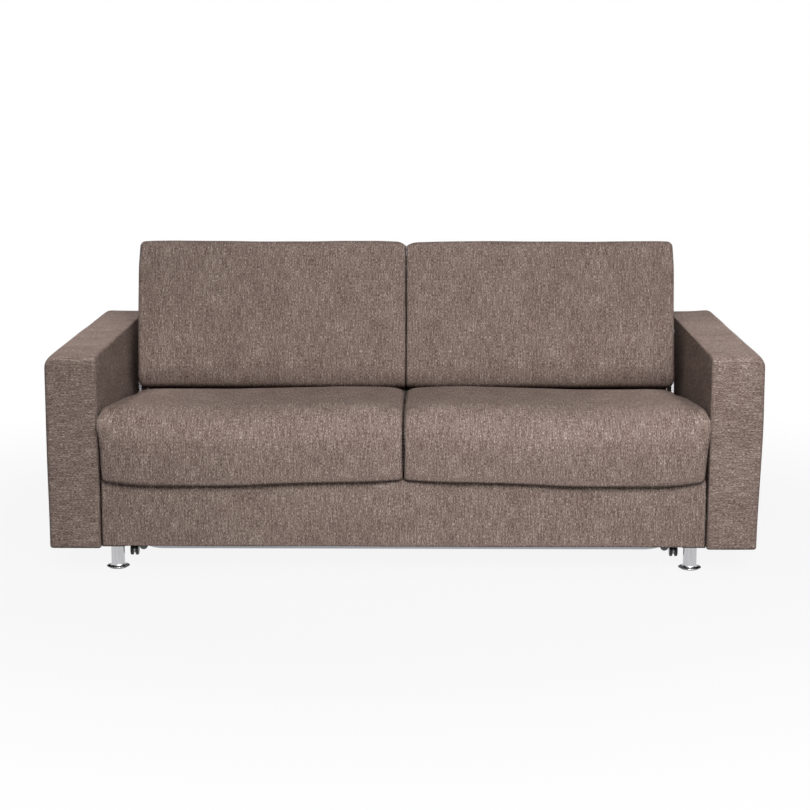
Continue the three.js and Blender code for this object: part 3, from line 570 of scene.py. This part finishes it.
def tube_mesh(name, points, radius, body, material, sides=8, wobble=0.0, pitch=0.006):
    """A thin rolled seam or thread along listed points, with its own weave map."""
    pts = np.array(points, float)
    tangent = np.gradient(pts, axis=0)
    tangent /= np.linalg.norm(tangent, axis=1)[:, None]
    aside = np.cross(tangent, (0.31, 0.17, 0.93))
    aside /= np.linalg.norm(aside, axis=1)[:, None]
    above = np.cross(aside, tangent)
    along = np.r_[0, np.cumsum(np.linalg.norm(np.diff(pts, axis=0), axis=1))]
    verts, faces, uvs = [], [], []
    for i, p in enumerate(pts):
        thick = radius * (1 + wobble * math.sin(along[i] * 2 * math.pi / pitch))
        # both ends run out thin
        thick *= min(1.0, 0.25 + 30 * min(i, len(pts) - 1 - i) / len(pts))
        for k in range(sides):
            t = 2 * math.pi * k / sides
            verts.append(p + thick * (aside[i] * math.cos(t) + above[i] * math.sin(t)))
    for i in range(len(pts) - 1):
        for k in range(sides):
            j = (k + 1) % sides
            faces.append((i * sides + k, i * sides + j, (i + 1) * sides + j, (i + 1) * sides + k))
            u0, u1 = (2 * math.pi * radius * m / sides for m in (k, k + 1))
            uvs.append(((u0, along[i]), (u1, along[i]), (u1, along[i + 1]), (u0, along[i + 1])))
    faces.append(tuple(range(sides - 1, -1, -1)))
    faces.append(tuple((len(pts) - 1) * sides + k for k in range(sides)))
    uvs.append(((0, 0),) * sides)
    uvs.append(((0, 0),) * sides)
    add_trim(make_object(name, verts, faces, material, uvs), body)


def side_sign(side):
    return 1 if side == "right" else -1


def on_foot(x, behind, along):
    """A point of the folded foot section, from its distances behind and along the section's line."""
    c, s = math.cos(RECLINE), math.sin(RECLINE)
    return (x, KNEE[1] + along * s + behind * c, KNEE[2] + along * c - behind * s)


# arms
COVER_LOW = ARM_LOW - 0.0022
COVER_TOP = ARM_TOP + 0.0010
ARM_CORNERS = [(ARM_IN, COVER_LOW), (ARM_OUT, COVER_LOW), (ARM_OUT, COVER_TOP), (ARM_IN, COVER_TOP)]
ARM_RADII = [0.006, 0.009, 0.030, 0.010]
# the outer side of an arm: how much fuller it is above, how far tucked in below, and its top's lift
ARM_FULLER = {"right": 0.0045, "left": 0.0005}
ARM_TUCK = {"right": 0.0045, "left": 0.001}
ARM_LIFT = {"right": 0.004, "left": 0.001}
ARM_SEED = {"right": 3.1, "left": 7.7}
# the top drops by this much, over this length, where it rolls over into the front face
ROLL_DROP = 0.006
ROLL_LENGTH = 0.045
# the seams on the inner edges lie this far inside the cover's corner
TOP_SEAM_IN = 0.0040
FRONT_SEAM_IN = 0.0036
TOP_SEAM_RADIUS = 0.0016
FRONT_SEAM_RADIUS = 0.0015


def front_roll(y):
    """How far the top of an arm has dropped where it rolls over into the front face."""
    return ROLL_DROP * np.clip(1 - (y - ARM_FRONT) / ROLL_LENGTH, 0, 1) ** 2


def make_arm(side):
    s = side_sign(side)
    stations = end_stations(ARM_FRONT, ARM_BACK, r_lo=0.013, r_hi=0.010, spacing=0.016)
    verts, faces, _ = loft(
        ARM_CORNERS, ARM_RADII, stations, lambda y, x, z: (s * x, y, z),
        spacing=0.014, arc=6, rings=6)
    obj = make_object("arm_cover_" + side, verts, faces, FABRIC)
    co = coordinates(obj)
    normal = vertex_normals(obj)
    swell = wave_field(co, (5, 4, 5), ARM_SEED[side]) * 0.0016
    # the inner top seam draws the cover in a little
    x, y, z = np.abs(co[:, 0]), co[:, 1], co[:, 2]
    seam = np.hypot(x - ARM_IN - 0.001, z - ARM_TOP + 0.001)
    pull = -0.0012 * np.exp(-((seam - 0.012) / 0.006) ** 2)
    co += normal * (swell + pull - 0.001)[:, None]
    outside = smooth((x - ARM_IN - 0.06) / 0.08)
    lean = ARM_FULLER[side] * smooth((z - 0.15) / 0.3) - ARM_TUCK[side] * smooth((0.35 - z) / 0.3)
    co[:, 0] += s * outside * lean
    co[:, 2] += ARM_LIFT[side] * outside * smooth((z - 0.5) / 0.1)
    co[:, 2] -= front_roll(y) * smooth((z - ARM_TOP + 0.08) / 0.07)
    set_coordinates(obj, co)
    weave_uv(obj, "across")
    finish_soft(obj, "base", "arm_" + side)


for side in ("right", "left"):
    make_arm(side)
    s = side_sign(side)
    run = [
        (s * (ARM_IN + TOP_SEAM_IN), y, COVER_TOP - TOP_SEAM_IN - front_roll(y))
        for y in np.linspace(ARM_FRONT + 0.010, ARM_BACK - 0.012, 60)]
    tube_mesh("arm_top_seam_" + side, run, TOP_SEAM_RADIUS, "base", FABRIC)
    rise = [
        (s * (ARM_IN + FRONT_SEAM_IN), ARM_FRONT + 0.0040, z)
        for z in np.linspace(COVER_LOW + 0.010, COVER_TOP - 0.019, 40)]
    tube_mesh("arm_front_seam_" + side, rise, FRONT_SEAM_RADIUS, "base", FABRIC)


# apron and rear panel
APRON_COVER_TOP = 0.268
APRON_SEED = 11.3
# the upper edge dips for the side tubes of the open head section, which come to lie over it
HEAD_TUBE_X = 0.7465
DIP_DEPTH = 0.007
DIP_REACH = 0.062
DIP_EASE = 0.025


def make_apron():
    """The padded apron: its upper edge stands up inside the overhang of the seat cushions."""
    a, b = low("front_apron"), high("front_apron")
    under = a[2] - 0.0010
    corners = [(a[1], under), (b[1], under), (b[1], APRON_COVER_TOP), (a[1], APRON_COVER_TOP)]
    stations = end_stations(
        a[0] - 0.003, b[0] + 0.003, r_lo=0.006, r_hi=0.006, spacing=0.02, arc=4)
    radii = [0.006, 0.006, 0.008, 0.008]
    verts, faces, uvs = loft(
        corners, radii, stations, lambda x, y, z: (x, y, z), spacing=0.012, arc=5, rings=4)
    obj = make_object("apron_cover", verts, faces, FABRIC, uvs)
    co = coordinates(obj)
    swell = wave_field(co, (4, 4, 6), APRON_SEED) * 0.0013
    co += vertex_normals(obj) * (swell - 0.0006)[:, None]
    beside_tube = smooth((DIP_REACH - np.abs(np.abs(co[:, 0]) - HEAD_TUBE_X)) / DIP_EASE)
    co[:, 2] -= DIP_DEPTH * beside_tube * smooth((co[:, 2] - 0.235) / 0.02)
    set_coordinates(obj, co)
    finish_soft(obj, "base", "front_apron")


make_apron()


def soften_edges(obj, width, angle):
    bevel = obj.modifiers.new("edges", "BEVEL")
    bevel.width = width
    bevel.segments = 2
    bevel.limit_method = "ANGLE"
    bevel.angle_limit = math.radians(angle)
    return bevel


def make_rear():
    """The rear panel's tight cover: the panel's own shape with softer edges."""
    obj = bpy.data.objects.new("rear_cover", nodes["rear_panel"].data.copy())
    scene.collection.objects.link(obj)
    obj.data.materials.clear()
    obj.data.materials.append(FABRIC)
    obj.data.shade_smooth()
    weave_uv(obj, "up")
    soften_edges(obj, width=0.0015, angle=25)
    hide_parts("rear_panel")
    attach(obj, "base")


make_rear()


# seat cushions
SEAT_IN = 0.0008
SEAT_OUT = high("seat_cushion_right")[0] - 0.0005
SEAT_FRONT = low("seat_cushion_right")[1]
SEAT_LOW = low("seat_cushion_right")[2]
SEAT_HIGH = high("seat_cushion_right")[2]
# where the back cushions' front face starts, low down: y and z
BACK_FACE_LOW = np.array(on_foot(0, -0.171, 0.168)[1:])

# how far the top rises, by the distance from the split
CROWN_AT = [0.0, 0.006, 0.014, 0.022, 0.032, 0.10, 0.20, 0.34, 0.50, 0.62, 0.74, 0.80, 0.845]
CROWN_RISE = [
    -0.013, -0.009, -0.004, -0.001, 0.001, 0.004, 0.003, -0.001, -0.005, -0.005, -0.004, -0.004,
    -0.005]
# how far the outer end of the nose spreads past the arm, by height
SPREAD_AT = [0.25, 0.28, 0.31, 0.35, 0.395, 0.425, 0.445, 0.47]
SPREAD = {
    "right": [-0.010, -0.0085, -0.0065, -0.003, 0.0035, 0.0115, 0.011, 0.006],
    "left": [-0.008, -0.006, -0.0035, -0.0025, 0.0015, 0.0125, 0.012, 0.006],
}
# how far the hanging lower edge lifts, by the distance from the split
HEM_AT = [
    0.0, 0.012, 0.035, 0.08, 0.135, 0.20, 0.27, 0.32, 0.373, 0.42, 0.473, 0.69, 0.727, 0.778, 0.811,
    0.845]
HEM_RISE = [
    0.021, 0.018, 0.0155, 0.0138, 0.0124, 0.0115, 0.0100, 0.0082, 0.0056, 0.0026, 0.0004, 0.0,
    0.0008, 0.0045, 0.0085, 0.0115]
# seeds of the slow swell, the small dents and the puckers of a cover
SEAT_SEEDS = {"right": (1.7, 9.1, 3.3), "left": (5.2, 2.4, 6.1)}
SEAT_RADII = [0.016, None, 0.02, 0.02, 0.25, 0.080]
# closer steps on the underside's front part and on the nose
SEAT_FINE = {0: 0.004, 5: 0.010}
# the nose bulges by this much, most of all at this height
NOSE_BULGE = 0.010
BELLY_HEIGHT = 0.335
# the crest of the nose is raised at the outer end
CREST_RAISE = 0.010
CREST_Y = -0.486
END_FALL = 0.011
LEG_SIDE_DRAW = 0.0245
# the covers keep this far from the plane of the split
SPLIT_GAP = 0.0003


def seat_outline():
    """The seat cushion's section: underside, tail under the back cushion, top and nose."""
    meet_y, meet_z = BACK_FACE_LOW
    tail_y = KNEE[1] + 0.010
    tail_z = meet_z - 0.003 - (tail_y - meet_y) * math.tan(RECLINE)
    return [
        (SEAT_FRONT + 0.005, SEAT_LOW + 0.0035),
        (-0.425, SEAT_LOW + 0.0010),
        (KNEE[1] - 0.066, SEAT_LOW + 0.0008),
        (tail_y, tail_z),
        (meet_y, meet_z - 0.003),
        (SEAT_FRONT + 0.002, SEAT_HIGH + 0.003),
    ]


def overhang(y):
    """Height of the seat cushion's underside: the nose hangs in front of the apron, with a relief
    above it."""
    rise = smooth((y - ARM_FRONT + 0.0045) / 0.005) * (1 - smooth((y + 0.450) / 0.020))
    return SEAT_LOW + 0.0008 + (APRON_COVER_TOP + 0.0035 - SEAT_LOW) * rise


def make_seat(side):
    s = side_sign(side)
    slow, small, puckers = SEAT_SEEDS[side]
    stations = end_stations(
        SEAT_IN, SEAT_OUT, r_lo=0.011, r_hi=0.012, spacing=0.015, dense=0.045)
    verts, faces, uvs = loft(
        seat_outline(), SEAT_RADII, stations, lambda x, y, z: (s * x, y, z),
        spacing=0.017, arc=9, rings=6, fine=SEAT_FINE)
    obj = make_object("seat_cover_" + side, verts, faces, FABRIC, uvs)
    co = coordinates(obj)
    x, y, z = np.abs(co[:, 0]), co[:, 1].copy(), co[:, 2].copy()
    across = 2 * (x - SEAT_IN) / (SEAT_OUT - SEAT_IN) - 1
    up = np.clip((z - SEAT_LOW) / (SEAT_HIGH - SEAT_LOW), 0, 1)
    front = smooth(1 - (y - SEAT_FRONT) / 0.13)
    outer = smooth((x - 0.77) / 0.06)
    # the cover is lower at its ends, and the nose draws back there
    crown = np.interp(x, CROWN_AT, CROWN_RISE)
    co[:, 2] += smooth((up - 0.45) / 0.45) * crown
    co[:, 1] += 0.006 * front * across ** 6
    # the nose is fullest a little above its middle
    belly = np.clip(1 - ((z - BELLY_HEIGHT) / 0.125) ** 2, 0, 1)
    co[:, 1] -= NOSE_BULGE * front * belly * (1 - across ** 8)
    # the lower front edge hangs deepest towards the outer end and rises to the split
    lift = np.interp(x, HEM_AT, HEM_RISE)
    co[:, 2] += smooth((ARM_FRONT - y) / 0.006) * (1 - up) ** 3 * lift
    over_apron = (up < 0.12) & (y > ARM_FRONT - 0.0046)
    co[:, 2] = np.where(over_apron, np.maximum(co[:, 2], overhang(y)), co[:, 2])
    # the nose spreads a little in front of the arm, and narrows towards its lower edge
    ahead = smooth((ARM_FRONT - 0.0015 - y) / 0.009)
    spread = np.interp(z, SPREAD_AT, SPREAD[side])
    co[:, 0] += s * outer * np.where(spread > 0, spread * ahead, spread * front)
    # at the outer end the crest stays square, and the top falls away behind it
    crest = smooth((z - 0.39) / 0.04) * np.exp(-((y - CREST_Y) / 0.022) ** 2)
    co[:, 2] += CREST_RAISE * outer * crest
    fall = smooth((y + 0.47) / 0.36) * np.clip((x - (SEAT_OUT - 0.052)) / 0.052, 0, 1) ** 2
    co[:, 2] -= END_FALL * fall * smooth((up - 0.5) / 0.4)
    # behind the front the outer side draws in beside the foot legs
    rear = smooth((y - (BACK_FACE_LOW[0] - 0.19)) / 0.11)
    co[:, 0] -= s * LEG_SIDE_DRAW * rear * np.clip((across + 1) / 2, 0, 1) ** 3
    set_coordinates(obj, co)
    under = smooth((y - BACK_FACE_LOW[0] + 0.02) / 0.03)
    below = smooth((SEAT_LOW + 0.016 - z) / 0.010)
    ends = smooth((np.abs(across) - 0.955) / 0.03) * (1 - 0.4 * front)
    held = np.clip(np.maximum.reduce([under, below, ends]), 0, 1)
    inflate(obj, pressure=5.0, cap=0.006, held=held)
    co = coordinates(obj)
    normal = vertex_normals(obj)
    free = (1 - under) * (1 - below)
    swell = wave_field(co, (3.6, 6, 6), slow) * 0.0030
    swell += wave_field(co, (13, 8, 13), small) * 0.0010
    # puckers where the cover is gathered into the seam beside the split
    gather = np.exp(-(((x - SEAT_IN) - 0.018) / 0.016) ** 2) * front
    ripple = wave_field(co, (20, 60, 75), puckers)
    co += normal * (free * swell + gather * ripple * 0.0026 - 0.001)[:, None]
    co[:, 0] = s * np.maximum(s * co[:, 0], SPLIT_GAP)
    set_coordinates(obj, co)
    finish_soft(obj, "middle", "seat_cushion_" + side)
    return obj


def overlock(name, path, body, seed):
    """Dark overlocking thread along a seam: an uneven, knotted line."""
    path = np.array(path, float)
    for i, p in enumerate(path):
        jitter = noise.noise_vector(Vector((i * 0.37 + seed, seed, 0)))
        path[i] = p + np.array(jitter) * 0.0012
    tube_mesh(name, path, 0.0012, body, THREAD_AND_SPLIT_SHADE, sides=6, wobble=0.5, pitch=0.0085)


# a thread end: (place along it from -1 to 1, radius), and the sides of its section
THREAD_END = ((-1, 0.0003), (-0.6, 0.0010), (0, 0.0013), (0.6, 0.0010), (1, 0.0003))
THREAD_SIDES = 6


def stitches(name, path, body, seed):
    """Short thread ends that lie across a seam, of uneven length and slant."""
    verts, faces = [], []
    for i in range(2, len(path) - 2, 4):
        p = np.array(path[i], float)
        run = np.array(path[i + 1], float) - np.array(path[i - 1], float)
        run /= np.linalg.norm(run)
        a, b, c = noise.noise_vector(Vector((i * 1.7, seed, 0.3)))
        across = np.array((1.0, 0, 0)) + run * a * 0.9
        half = 0.0024 + 0.0022 * abs(b)
        middle = p + run * 0.004 * c + np.array((0.0022 * b, 0, 0))
        side = np.cross(across, run)
        side /= np.linalg.norm(side)
        first = len(verts)
        for t, r in THREAD_END:
            for k in range(THREAD_SIDES):
                angle = 2 * math.pi * k / THREAD_SIDES
                section = run * math.cos(angle) + side * math.sin(angle)
                verts.append(middle + across * half * t + r * section)
        for row in range(len(THREAD_END) - 1):
            here = first + row * THREAD_SIDES
            for k in range(THREAD_SIDES):
                j = (k + 1) % THREAD_SIDES
                faces.append((here + k, here + j, here + THREAD_SIDES + j, here + THREAD_SIDES + k))
        last = first + (len(THREAD_END) - 1) * THREAD_SIDES
        faces.append(tuple(first + k for k in range(THREAD_SIDES - 1, -1, -1)))
        faces.append(tuple(last + k for k in range(THREAD_SIDES)))
    add_trim(make_object(name, verts, faces, THREAD_AND_SPLIT_SHADE), body)


def seat_edge(covers):
    """The line between the seat covers, found from their own vertices: from behind the crest to the
    lower lip. It goes by angle about a point inside the nose."""
    centre = np.array((SEAT_FRONT + 0.095, 0.385))
    co = np.vstack([coordinates(obj) for obj in covers])
    at_split = np.abs(co[:, 0]) < 0.0045
    near = co[at_split & (co[:, 1] < centre[0] + 0.03) & (co[:, 2] > SEAT_LOW + 0.015)]
    out = near[:, 1:] - centre
    angle = np.degrees(np.arctan2(out[:, 1], -out[:, 0]))
    reach = np.hypot(out[:, 0], out[:, 1])
    steps = np.arange(78.0, -50.0, -4.0)
    far = []
    for step in steps:
        close = reach[np.abs(angle - step) < 5]
        far.append(close.max() if len(close) else np.nan)
    far = np.array(far)
    good = ~np.isnan(far)
    fine = np.arange(78.0, -46.0, -1.6)
    radius = np.interp(-fine, -steps[good], far[good]) + 0.0004
    turn = np.radians(fine)
    return [
        (0, centre[0] - r * math.cos(a), centre[1] + r * math.sin(a)) for a, r in zip(turn, radius)]


seat_line = seat_edge([make_seat("right"), make_seat("left")])
overlock("seat_overlock", seat_line, "middle", seed=2.7)
# the thread ends show on the front of the nose only
stitches("seat_stitches", seat_line[14:], "middle", seed=4.4)


# back cushions
BACK_OUT = high("back_cushion_right")[0] - 0.0005
BACK_IN = 0.0003
# section of a back cushion, as distances behind and along the folded foot section's line
BACK_REAR = -0.0131
BACK_LOW = 0.1685
BACK_HIGH = 0.611
BACK_DEPTH = 0.158
BACK_RADII = [0.042, 0.012, 0.018, 0.016]
BACK_SEEDS = {"right": (4.4, 6.6, 1.3), "left": (8.3, 0.9, 7.1)}


def make_back(side):
    s = side_sign(side)
    slow, small, puckers = BACK_SEEDS[side]
    corners = [
        (BACK_REAR - BACK_DEPTH, BACK_LOW), (BACK_REAR, BACK_LOW),
        (BACK_REAR, BACK_HIGH), (BACK_REAR - 0.151, 0.6150)]
    stations = end_stations(
        BACK_IN, BACK_OUT, r_lo=0.008, r_hi=0.019, spacing=0.016, dense=0.04)
    verts, faces, uvs = loft(
        corners, BACK_RADII, stations, lambda x, b, a: (s * x, b, a),
        spacing=0.014, arc=5, rings=6)
    obj = make_object("back_cover_" + side, verts, faces, FABRIC, uvs)
    co = coordinates(obj)
    x, b, a = np.abs(co[:, 0]), co[:, 1].copy(), co[:, 2].copy()
    across = 2 * (x - BACK_IN) / (BACK_OUT - BACK_IN) - 1
    up = np.clip((a - 0.168) / 0.449, 0, 1)
    face = np.clip((BACK_REAR - b) / 0.16, 0, 1)
    dome = (1 - across ** 6) * (1 - (2 * up - 1) ** 6)
    co[:, 1] -= face ** 2 * 0.006 * dome
    # the top edge sinks a little towards the split, with a small notch at it
    top = np.clip((up - 0.75) / 0.25, 0, 1) ** 2
    notch = smooth(1 - (x - BACK_IN) / 0.022)
    co[:, 2] -= top * (0.0025 * smooth(1 - x / 0.12) + 0.009 * notch)
    co[:, 0] -= s * 0.004 * smooth((across - 0.9) / 0.1) * smooth((up - 0.8) / 0.2)
    set_coordinates(obj, co)
    behind = smooth((0.45 - face) / 0.2)
    below = smooth((0.1825 - a) / 0.008)
    ends = smooth((np.abs(across) - 0.955) / 0.03) * 0.8
    held = np.clip(np.maximum.reduce([behind, below, ends]), 0, 1)
    inflate(obj, pressure=4.0, cap=0.004, held=held)
    co = coordinates(obj)
    normal = vertex_normals(obj)
    free = (1 - behind) * (1 - below)
    swell = wave_field(co, (3.5, 5, 4.5), slow) * 0.0026
    swell += wave_field(co, (12, 9, 12), small) * 0.0008
    gather = np.exp(-(((x - BACK_IN) - 0.014) / 0.012) ** 2) * (face > 0.4)
    ripple = wave_field(co, (20, 40, 60), puckers)
    co += normal * (free * swell + gather * ripple * 0.0016 - 0.0008)[:, None]
    co[:, 0] = s * np.maximum(s * co[:, 0], SPLIT_GAP)
    set_coordinates(obj, np.array([on_foot(*p) for p in co]))
    finish_soft(obj, "foot", "back_cushion_" + side)


for side in ("right", "left"):
    make_back(side)
# the seam goes up the front face, round the upper edge and back along the top
SEAM_TURN = 0.588
SEAM_TOP = 0.5996
back_seam = [on_foot(0, BACK_REAR - 0.147, a) for a in np.linspace(0.200, SEAM_TURN, 86)]
back_seam += [
    on_foot(0, BACK_REAR - 0.136 - 0.011 * math.cos(t), SEAM_TURN + 0.0115 * math.sin(t))
    for t in np.linspace(0.2, 1.5, 6)]
back_seam += [on_foot(0, b, SEAM_TOP) for b in np.linspace(BACK_REAR - 0.128, -0.030, 24)]
overlock("back_overlock", back_seam, "foot", seed=8.1)


# half the thickness of the dark strip of painted shade in the back cushions' split
SHADE_STRIP_HALF = 0.00025


def make_split_shade_strip():
    """A dark strip in the split between the two back cushions: painted shade, so that the white
    behind doesn't show through. Its corners are places behind and along the foot section's line."""
    edge = [
        (-0.154, 0.190), (-0.022, 0.180), (-0.022, 0.592),
        (-0.040, 0.5985), (-0.142, 0.5985), (-0.154, 0.590)]
    verts = [on_foot(x, b, a) for x in (-SHADE_STRIP_HALF, SHADE_STRIP_HALF) for b, a in edge]
    n = len(edge)
    faces = [tuple(range(n - 1, -1, -1)), tuple(range(n, 2 * n))]
    faces += [(i, (i + 1) % n, n + (i + 1) % n, n + i) for i in range(n)]
    add_trim(make_object("back_split_shade_strip", verts, faces, THREAD_AND_SPLIT_SHADE), "foot")


# a dark strip of painted shade in the back cushions' split, so the white behind doesn't show through
make_split_shade_strip()


# mattress sections
MATTRESS_EDGE = 0.016
# the foot section's mattress, as distances behind and along the section's line
FOOT_MATTRESS_LOW = (0.0128, 0.0015)
FOOT_MATTRESS_HIGH = (0.0886, 0.560)


def make_mattress(node, body):
    """The ticking of a mattress section. The one on the foot section leans with it."""
    a, b = low(node), high(node)
    if body == "foot":
        lo, hi, place = FOOT_MATTRESS_LOW, FOOT_MATTRESS_HIGH, on_foot
    else:
        lo, hi, place = a[1:], b[1:], lambda x, y, z: (x, y, z)
    corners = [(lo[0], lo[1]), (hi[0], lo[1]), (hi[0], hi[1]), (lo[0], hi[1])]
    stations = end_stations(
        a[0], b[0], r_lo=MATTRESS_EDGE, r_hi=MATTRESS_EDGE, spacing=0.03, arc=4)
    verts, faces, uvs = loft(
        corners, [MATTRESS_EDGE] * 4, stations, place, spacing=0.03, arc=4, rings=4)
    obj = make_object(node + "_cover", verts, faces, TICKING, uvs)
    set_coordinates(obj, coordinates(obj) - vertex_normals(obj) * 0.0008)
    finish_soft(obj, body, node)


for body in ("head", "middle", "foot"):
    make_mattress("mattress_" + body, body)


# legs
LATHE_SIDES = 64


def lathe(name, profile, centre, material):
    """A round piece about a vertical axis, from (radius, height) pairs."""
    verts, faces = [], []
    for k in range(LATHE_SIDES):
        t = 2 * math.pi * k / LATHE_SIDES
        for r, z in profile:
            verts.append((centre[0] + r * math.cos(t), centre[1] + r * math.sin(t), z))
    n = len(profile)
    for k in range(LATHE_SIDES):
        for i in range(n - 1):
            a, b = k * n + i, ((k + 1) % LATHE_SIDES) * n + i
            faces.append((a, b, b + 1, a + 1))
    return make_object(name, verts, faces, material)


# a leg's profile: (radius, height above its foot), and (radius, depth below its top)
LEG_FROM_FOOT = [
    (0.0001, 0.0), (0.0312, 0.0), (0.0322, 0.0004), (0.0325, 0.0011), (0.0320, 0.0018),
    (0.0300, 0.0023), (0.0250, 0.0026), (0.0215, 0.0034), (0.0200, 0.0052),
    (0.0193, 0.0085), (0.019, 0.013)]
LEG_FROM_TOP = [
    (0.019, 0.006), (0.0192, 0.0052),
    (0.0265, 0.005), (0.027, 0.0045), (0.027, 0.0004), (0.0001, 0.0003)]


def make_leg(end, side):
    """A turned leg: a thin wide disc, the shaft, and the plate that is screwed to the frame."""
    name = end + "_leg_" + side
    a, b = low(name), high(name)
    profile = [(r, a[2] + z) for r, z in LEG_FROM_FOOT] + [(r, b[2] - z) for r, z in LEG_FROM_TOP]
    obj = lathe("turned_" + name, profile, (a + b)[:2] / 2, CHROME)
    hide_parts(name)
    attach(obj, "base")


for end in ("front", "rear"):
    for side in ("left", "right"):
        make_leg(end, side)


# carried-over nodes
LOOKS = {
    "side_rail": STEEL, "corner_block": BLOCK, "glide": BLACK, "swing_arm": STEEL,
    "side_tube": SILVER, "bar": SILVER, "slats": SLAT, "tube_cap": GREY,
    "wheel_leg": STEEL, "wheel_inner": BLACK, "wheel_outer": BLACK, "wheel_axle": STEEL,
    "foot_leg": CHROME,
}
REPLACED = (
    "arm_", "front_apron", "rear_panel", "seat_cushion", "back_cushion", "mattress",
    "front_leg", "rear_leg")
for name, obj in nodes.items():
    if name.startswith(REPLACED):
        continue
    look = next((m for key, m in LOOKS.items() if key in name), STEEL)
    obj.data.materials.clear()
    obj.data.materials.append(look)
    obj.data.shade_smooth()
    soften_edges(obj, width=0.0006, angle=40).harden_normals = True


# floor, light and camera
def seen_directly(tree):
    """1 for what the camera sees, itself or in a mirror, and 0 for other light."""
    path = add(tree, "ShaderNodeLightPath")
    return arithmetic(tree, "MAXIMUM", path, path, "Is Camera Ray", "Is Glossy Ray")


def blended(tree, share, a, b):
    """Two shaders, mixed by a node that gives the share of the second."""
    node = add(tree, "ShaderNodeMixShader")
    for into, source in enumerate((share, a, b)):
        link(tree, source, 0, node, into)
    return node


def make_floor():
    """A floor that the camera sees as white, apart from a faint shadow near the sofa. Other light
    meets a plain grey."""
    bpy.ops.mesh.primitive_plane_add(size=60, location=(0, 0, -0.0004))
    floor = bpy.context.object
    floor.name = "studio_floor"
    mat, tree, bsdf = new_material("floor_white")
    out = tree.nodes["Material Output"]
    set_inputs(bsdf, {
        "Base Color": (0.36, 0.36, 0.36, 1), "Roughness": 0.9, "Specular IOR Level": 0.1})
    glow = add(tree, "ShaderNodeEmission", Strength=1.0)
    glow.inputs["Color"].default_value = (1, 1, 1, 1)
    place = add(tree, "ShaderNodeTexCoord")
    reach = add(tree, "ShaderNodeVectorMath", operation="LENGTH")
    link(tree, place, "Object", reach, 0)
    spread = add(tree, "ShaderNodeMapRange", interpolation_type="SMOOTHSTEP")
    set_inputs(spread, {"From Min": 1.1, "From Max": 2.6, "To Min": 0.9, "To Max": 1.0})
    link(tree, reach, "Value", spread, "Value")
    share = arithmetic(tree, "MULTIPLY", seen_directly(tree), spread)
    link(tree, blended(tree, share, bsdf, glow), 0, out, "Surface")
    floor.data.materials.append(mat)


make_floor()


def make_world():
    """Weak soft light from all round, behind a white that only the camera sees."""
    world = bpy.data.worlds.new("studio")
    scene.world = world
    world.use_nodes = True
    tree = world.node_tree
    tree.nodes.clear()
    out = tree.nodes.new("ShaderNodeOutputWorld")
    soft = add(tree, "ShaderNodeBackground", Strength=0.048)
    soft.inputs["Color"].default_value = (1, 1, 1, 1)
    white = add(tree, "ShaderNodeBackground", Strength=1.0)
    white.inputs["Color"].default_value = (1, 1, 1, 1)
    link(tree, blended(tree, seen_directly(tree), soft, white), 0, out, 0)


make_world()


def area(name, spot, target, size, power, fan=180):
    """A rectangular lamp at spot that looks at target. fan is the angle of its beam in degrees."""
    light = bpy.data.lights.new(name, "AREA")
    light.shape = "RECTANGLE"
    light.size, light.size_y = size
    light.energy = power
    light.spread = math.radians(fan)
    obj = bpy.data.objects.new(name, light)
    scene.collection.objects.link(obj)
    obj.location = spot
    obj.rotation_euler = (Vector(target) - Vector(spot)).to_track_quat("-Z", "Y").to_euler()


area("key", (0.3, -4.0, 2.7), (0, -0.6, 0.2), (1.8, 1.6), power=48, fan=100)
area("front", (0.4, -2.4, 1.2), (0.12, -0.45, 0.42), (1.9, 0.4), power=1.8, fan=64)
area("side", (1.6, -2.1, 1.2), (0.6, -0.45, 0.35), (0.7, 0.7), power=12)
area("top", (0, -0.7, 4.2), (0, -0.2, 0.3), (2.6, 1.4), power=36)
for side in ("left", "right"):
    s = side_sign(side)
    area(
        "rear_" + side, (s * 2.6, 2.6, 1.5), (s * 0.6, 0.3, 0.4), (1.2, 1.0), power=10, fan=120)
    area(
        "arm_strip_" + side, (s * 1.25, -0.02, 1.5), (s * 0.93, -0.02, 0.57), (1.0, 0.15),
        power=0.8, fan=45)

# fitted to the corners and edges of the sofa in the photo: focal length in pixels, angles in radians
FOCAL = 1959.1
IMAGE_WIDTH = 810
SENSOR_WIDTH = 36.0
PITCH, YAW, ROLL = 0.17533, 0.01203, -0.00027
CAMERA_SPOT = (0.0691, -5.7950, 1.4195)
camera_data = bpy.data.cameras.new("camera")
camera_data.sensor_width = SENSOR_WIDTH
camera_data.lens = FOCAL / IMAGE_WIDTH * SENSOR_WIDTH
camera_data.clip_end = 100
camera = bpy.data.objects.new("camera", camera_data)
scene.collection.objects.link(camera)
turned = Matrix.Rotation(YAW, 4, "Z")
turned = turned @ Matrix.Rotation(math.pi / 2 - PITCH, 4, "X") @ Matrix.Rotation(ROLL, 4, "Z")
camera.matrix_world = Matrix.Translation(CAMERA_SPOT) @ turned
scene.camera = camera
scene.view_settings.view_transform = "Standard"
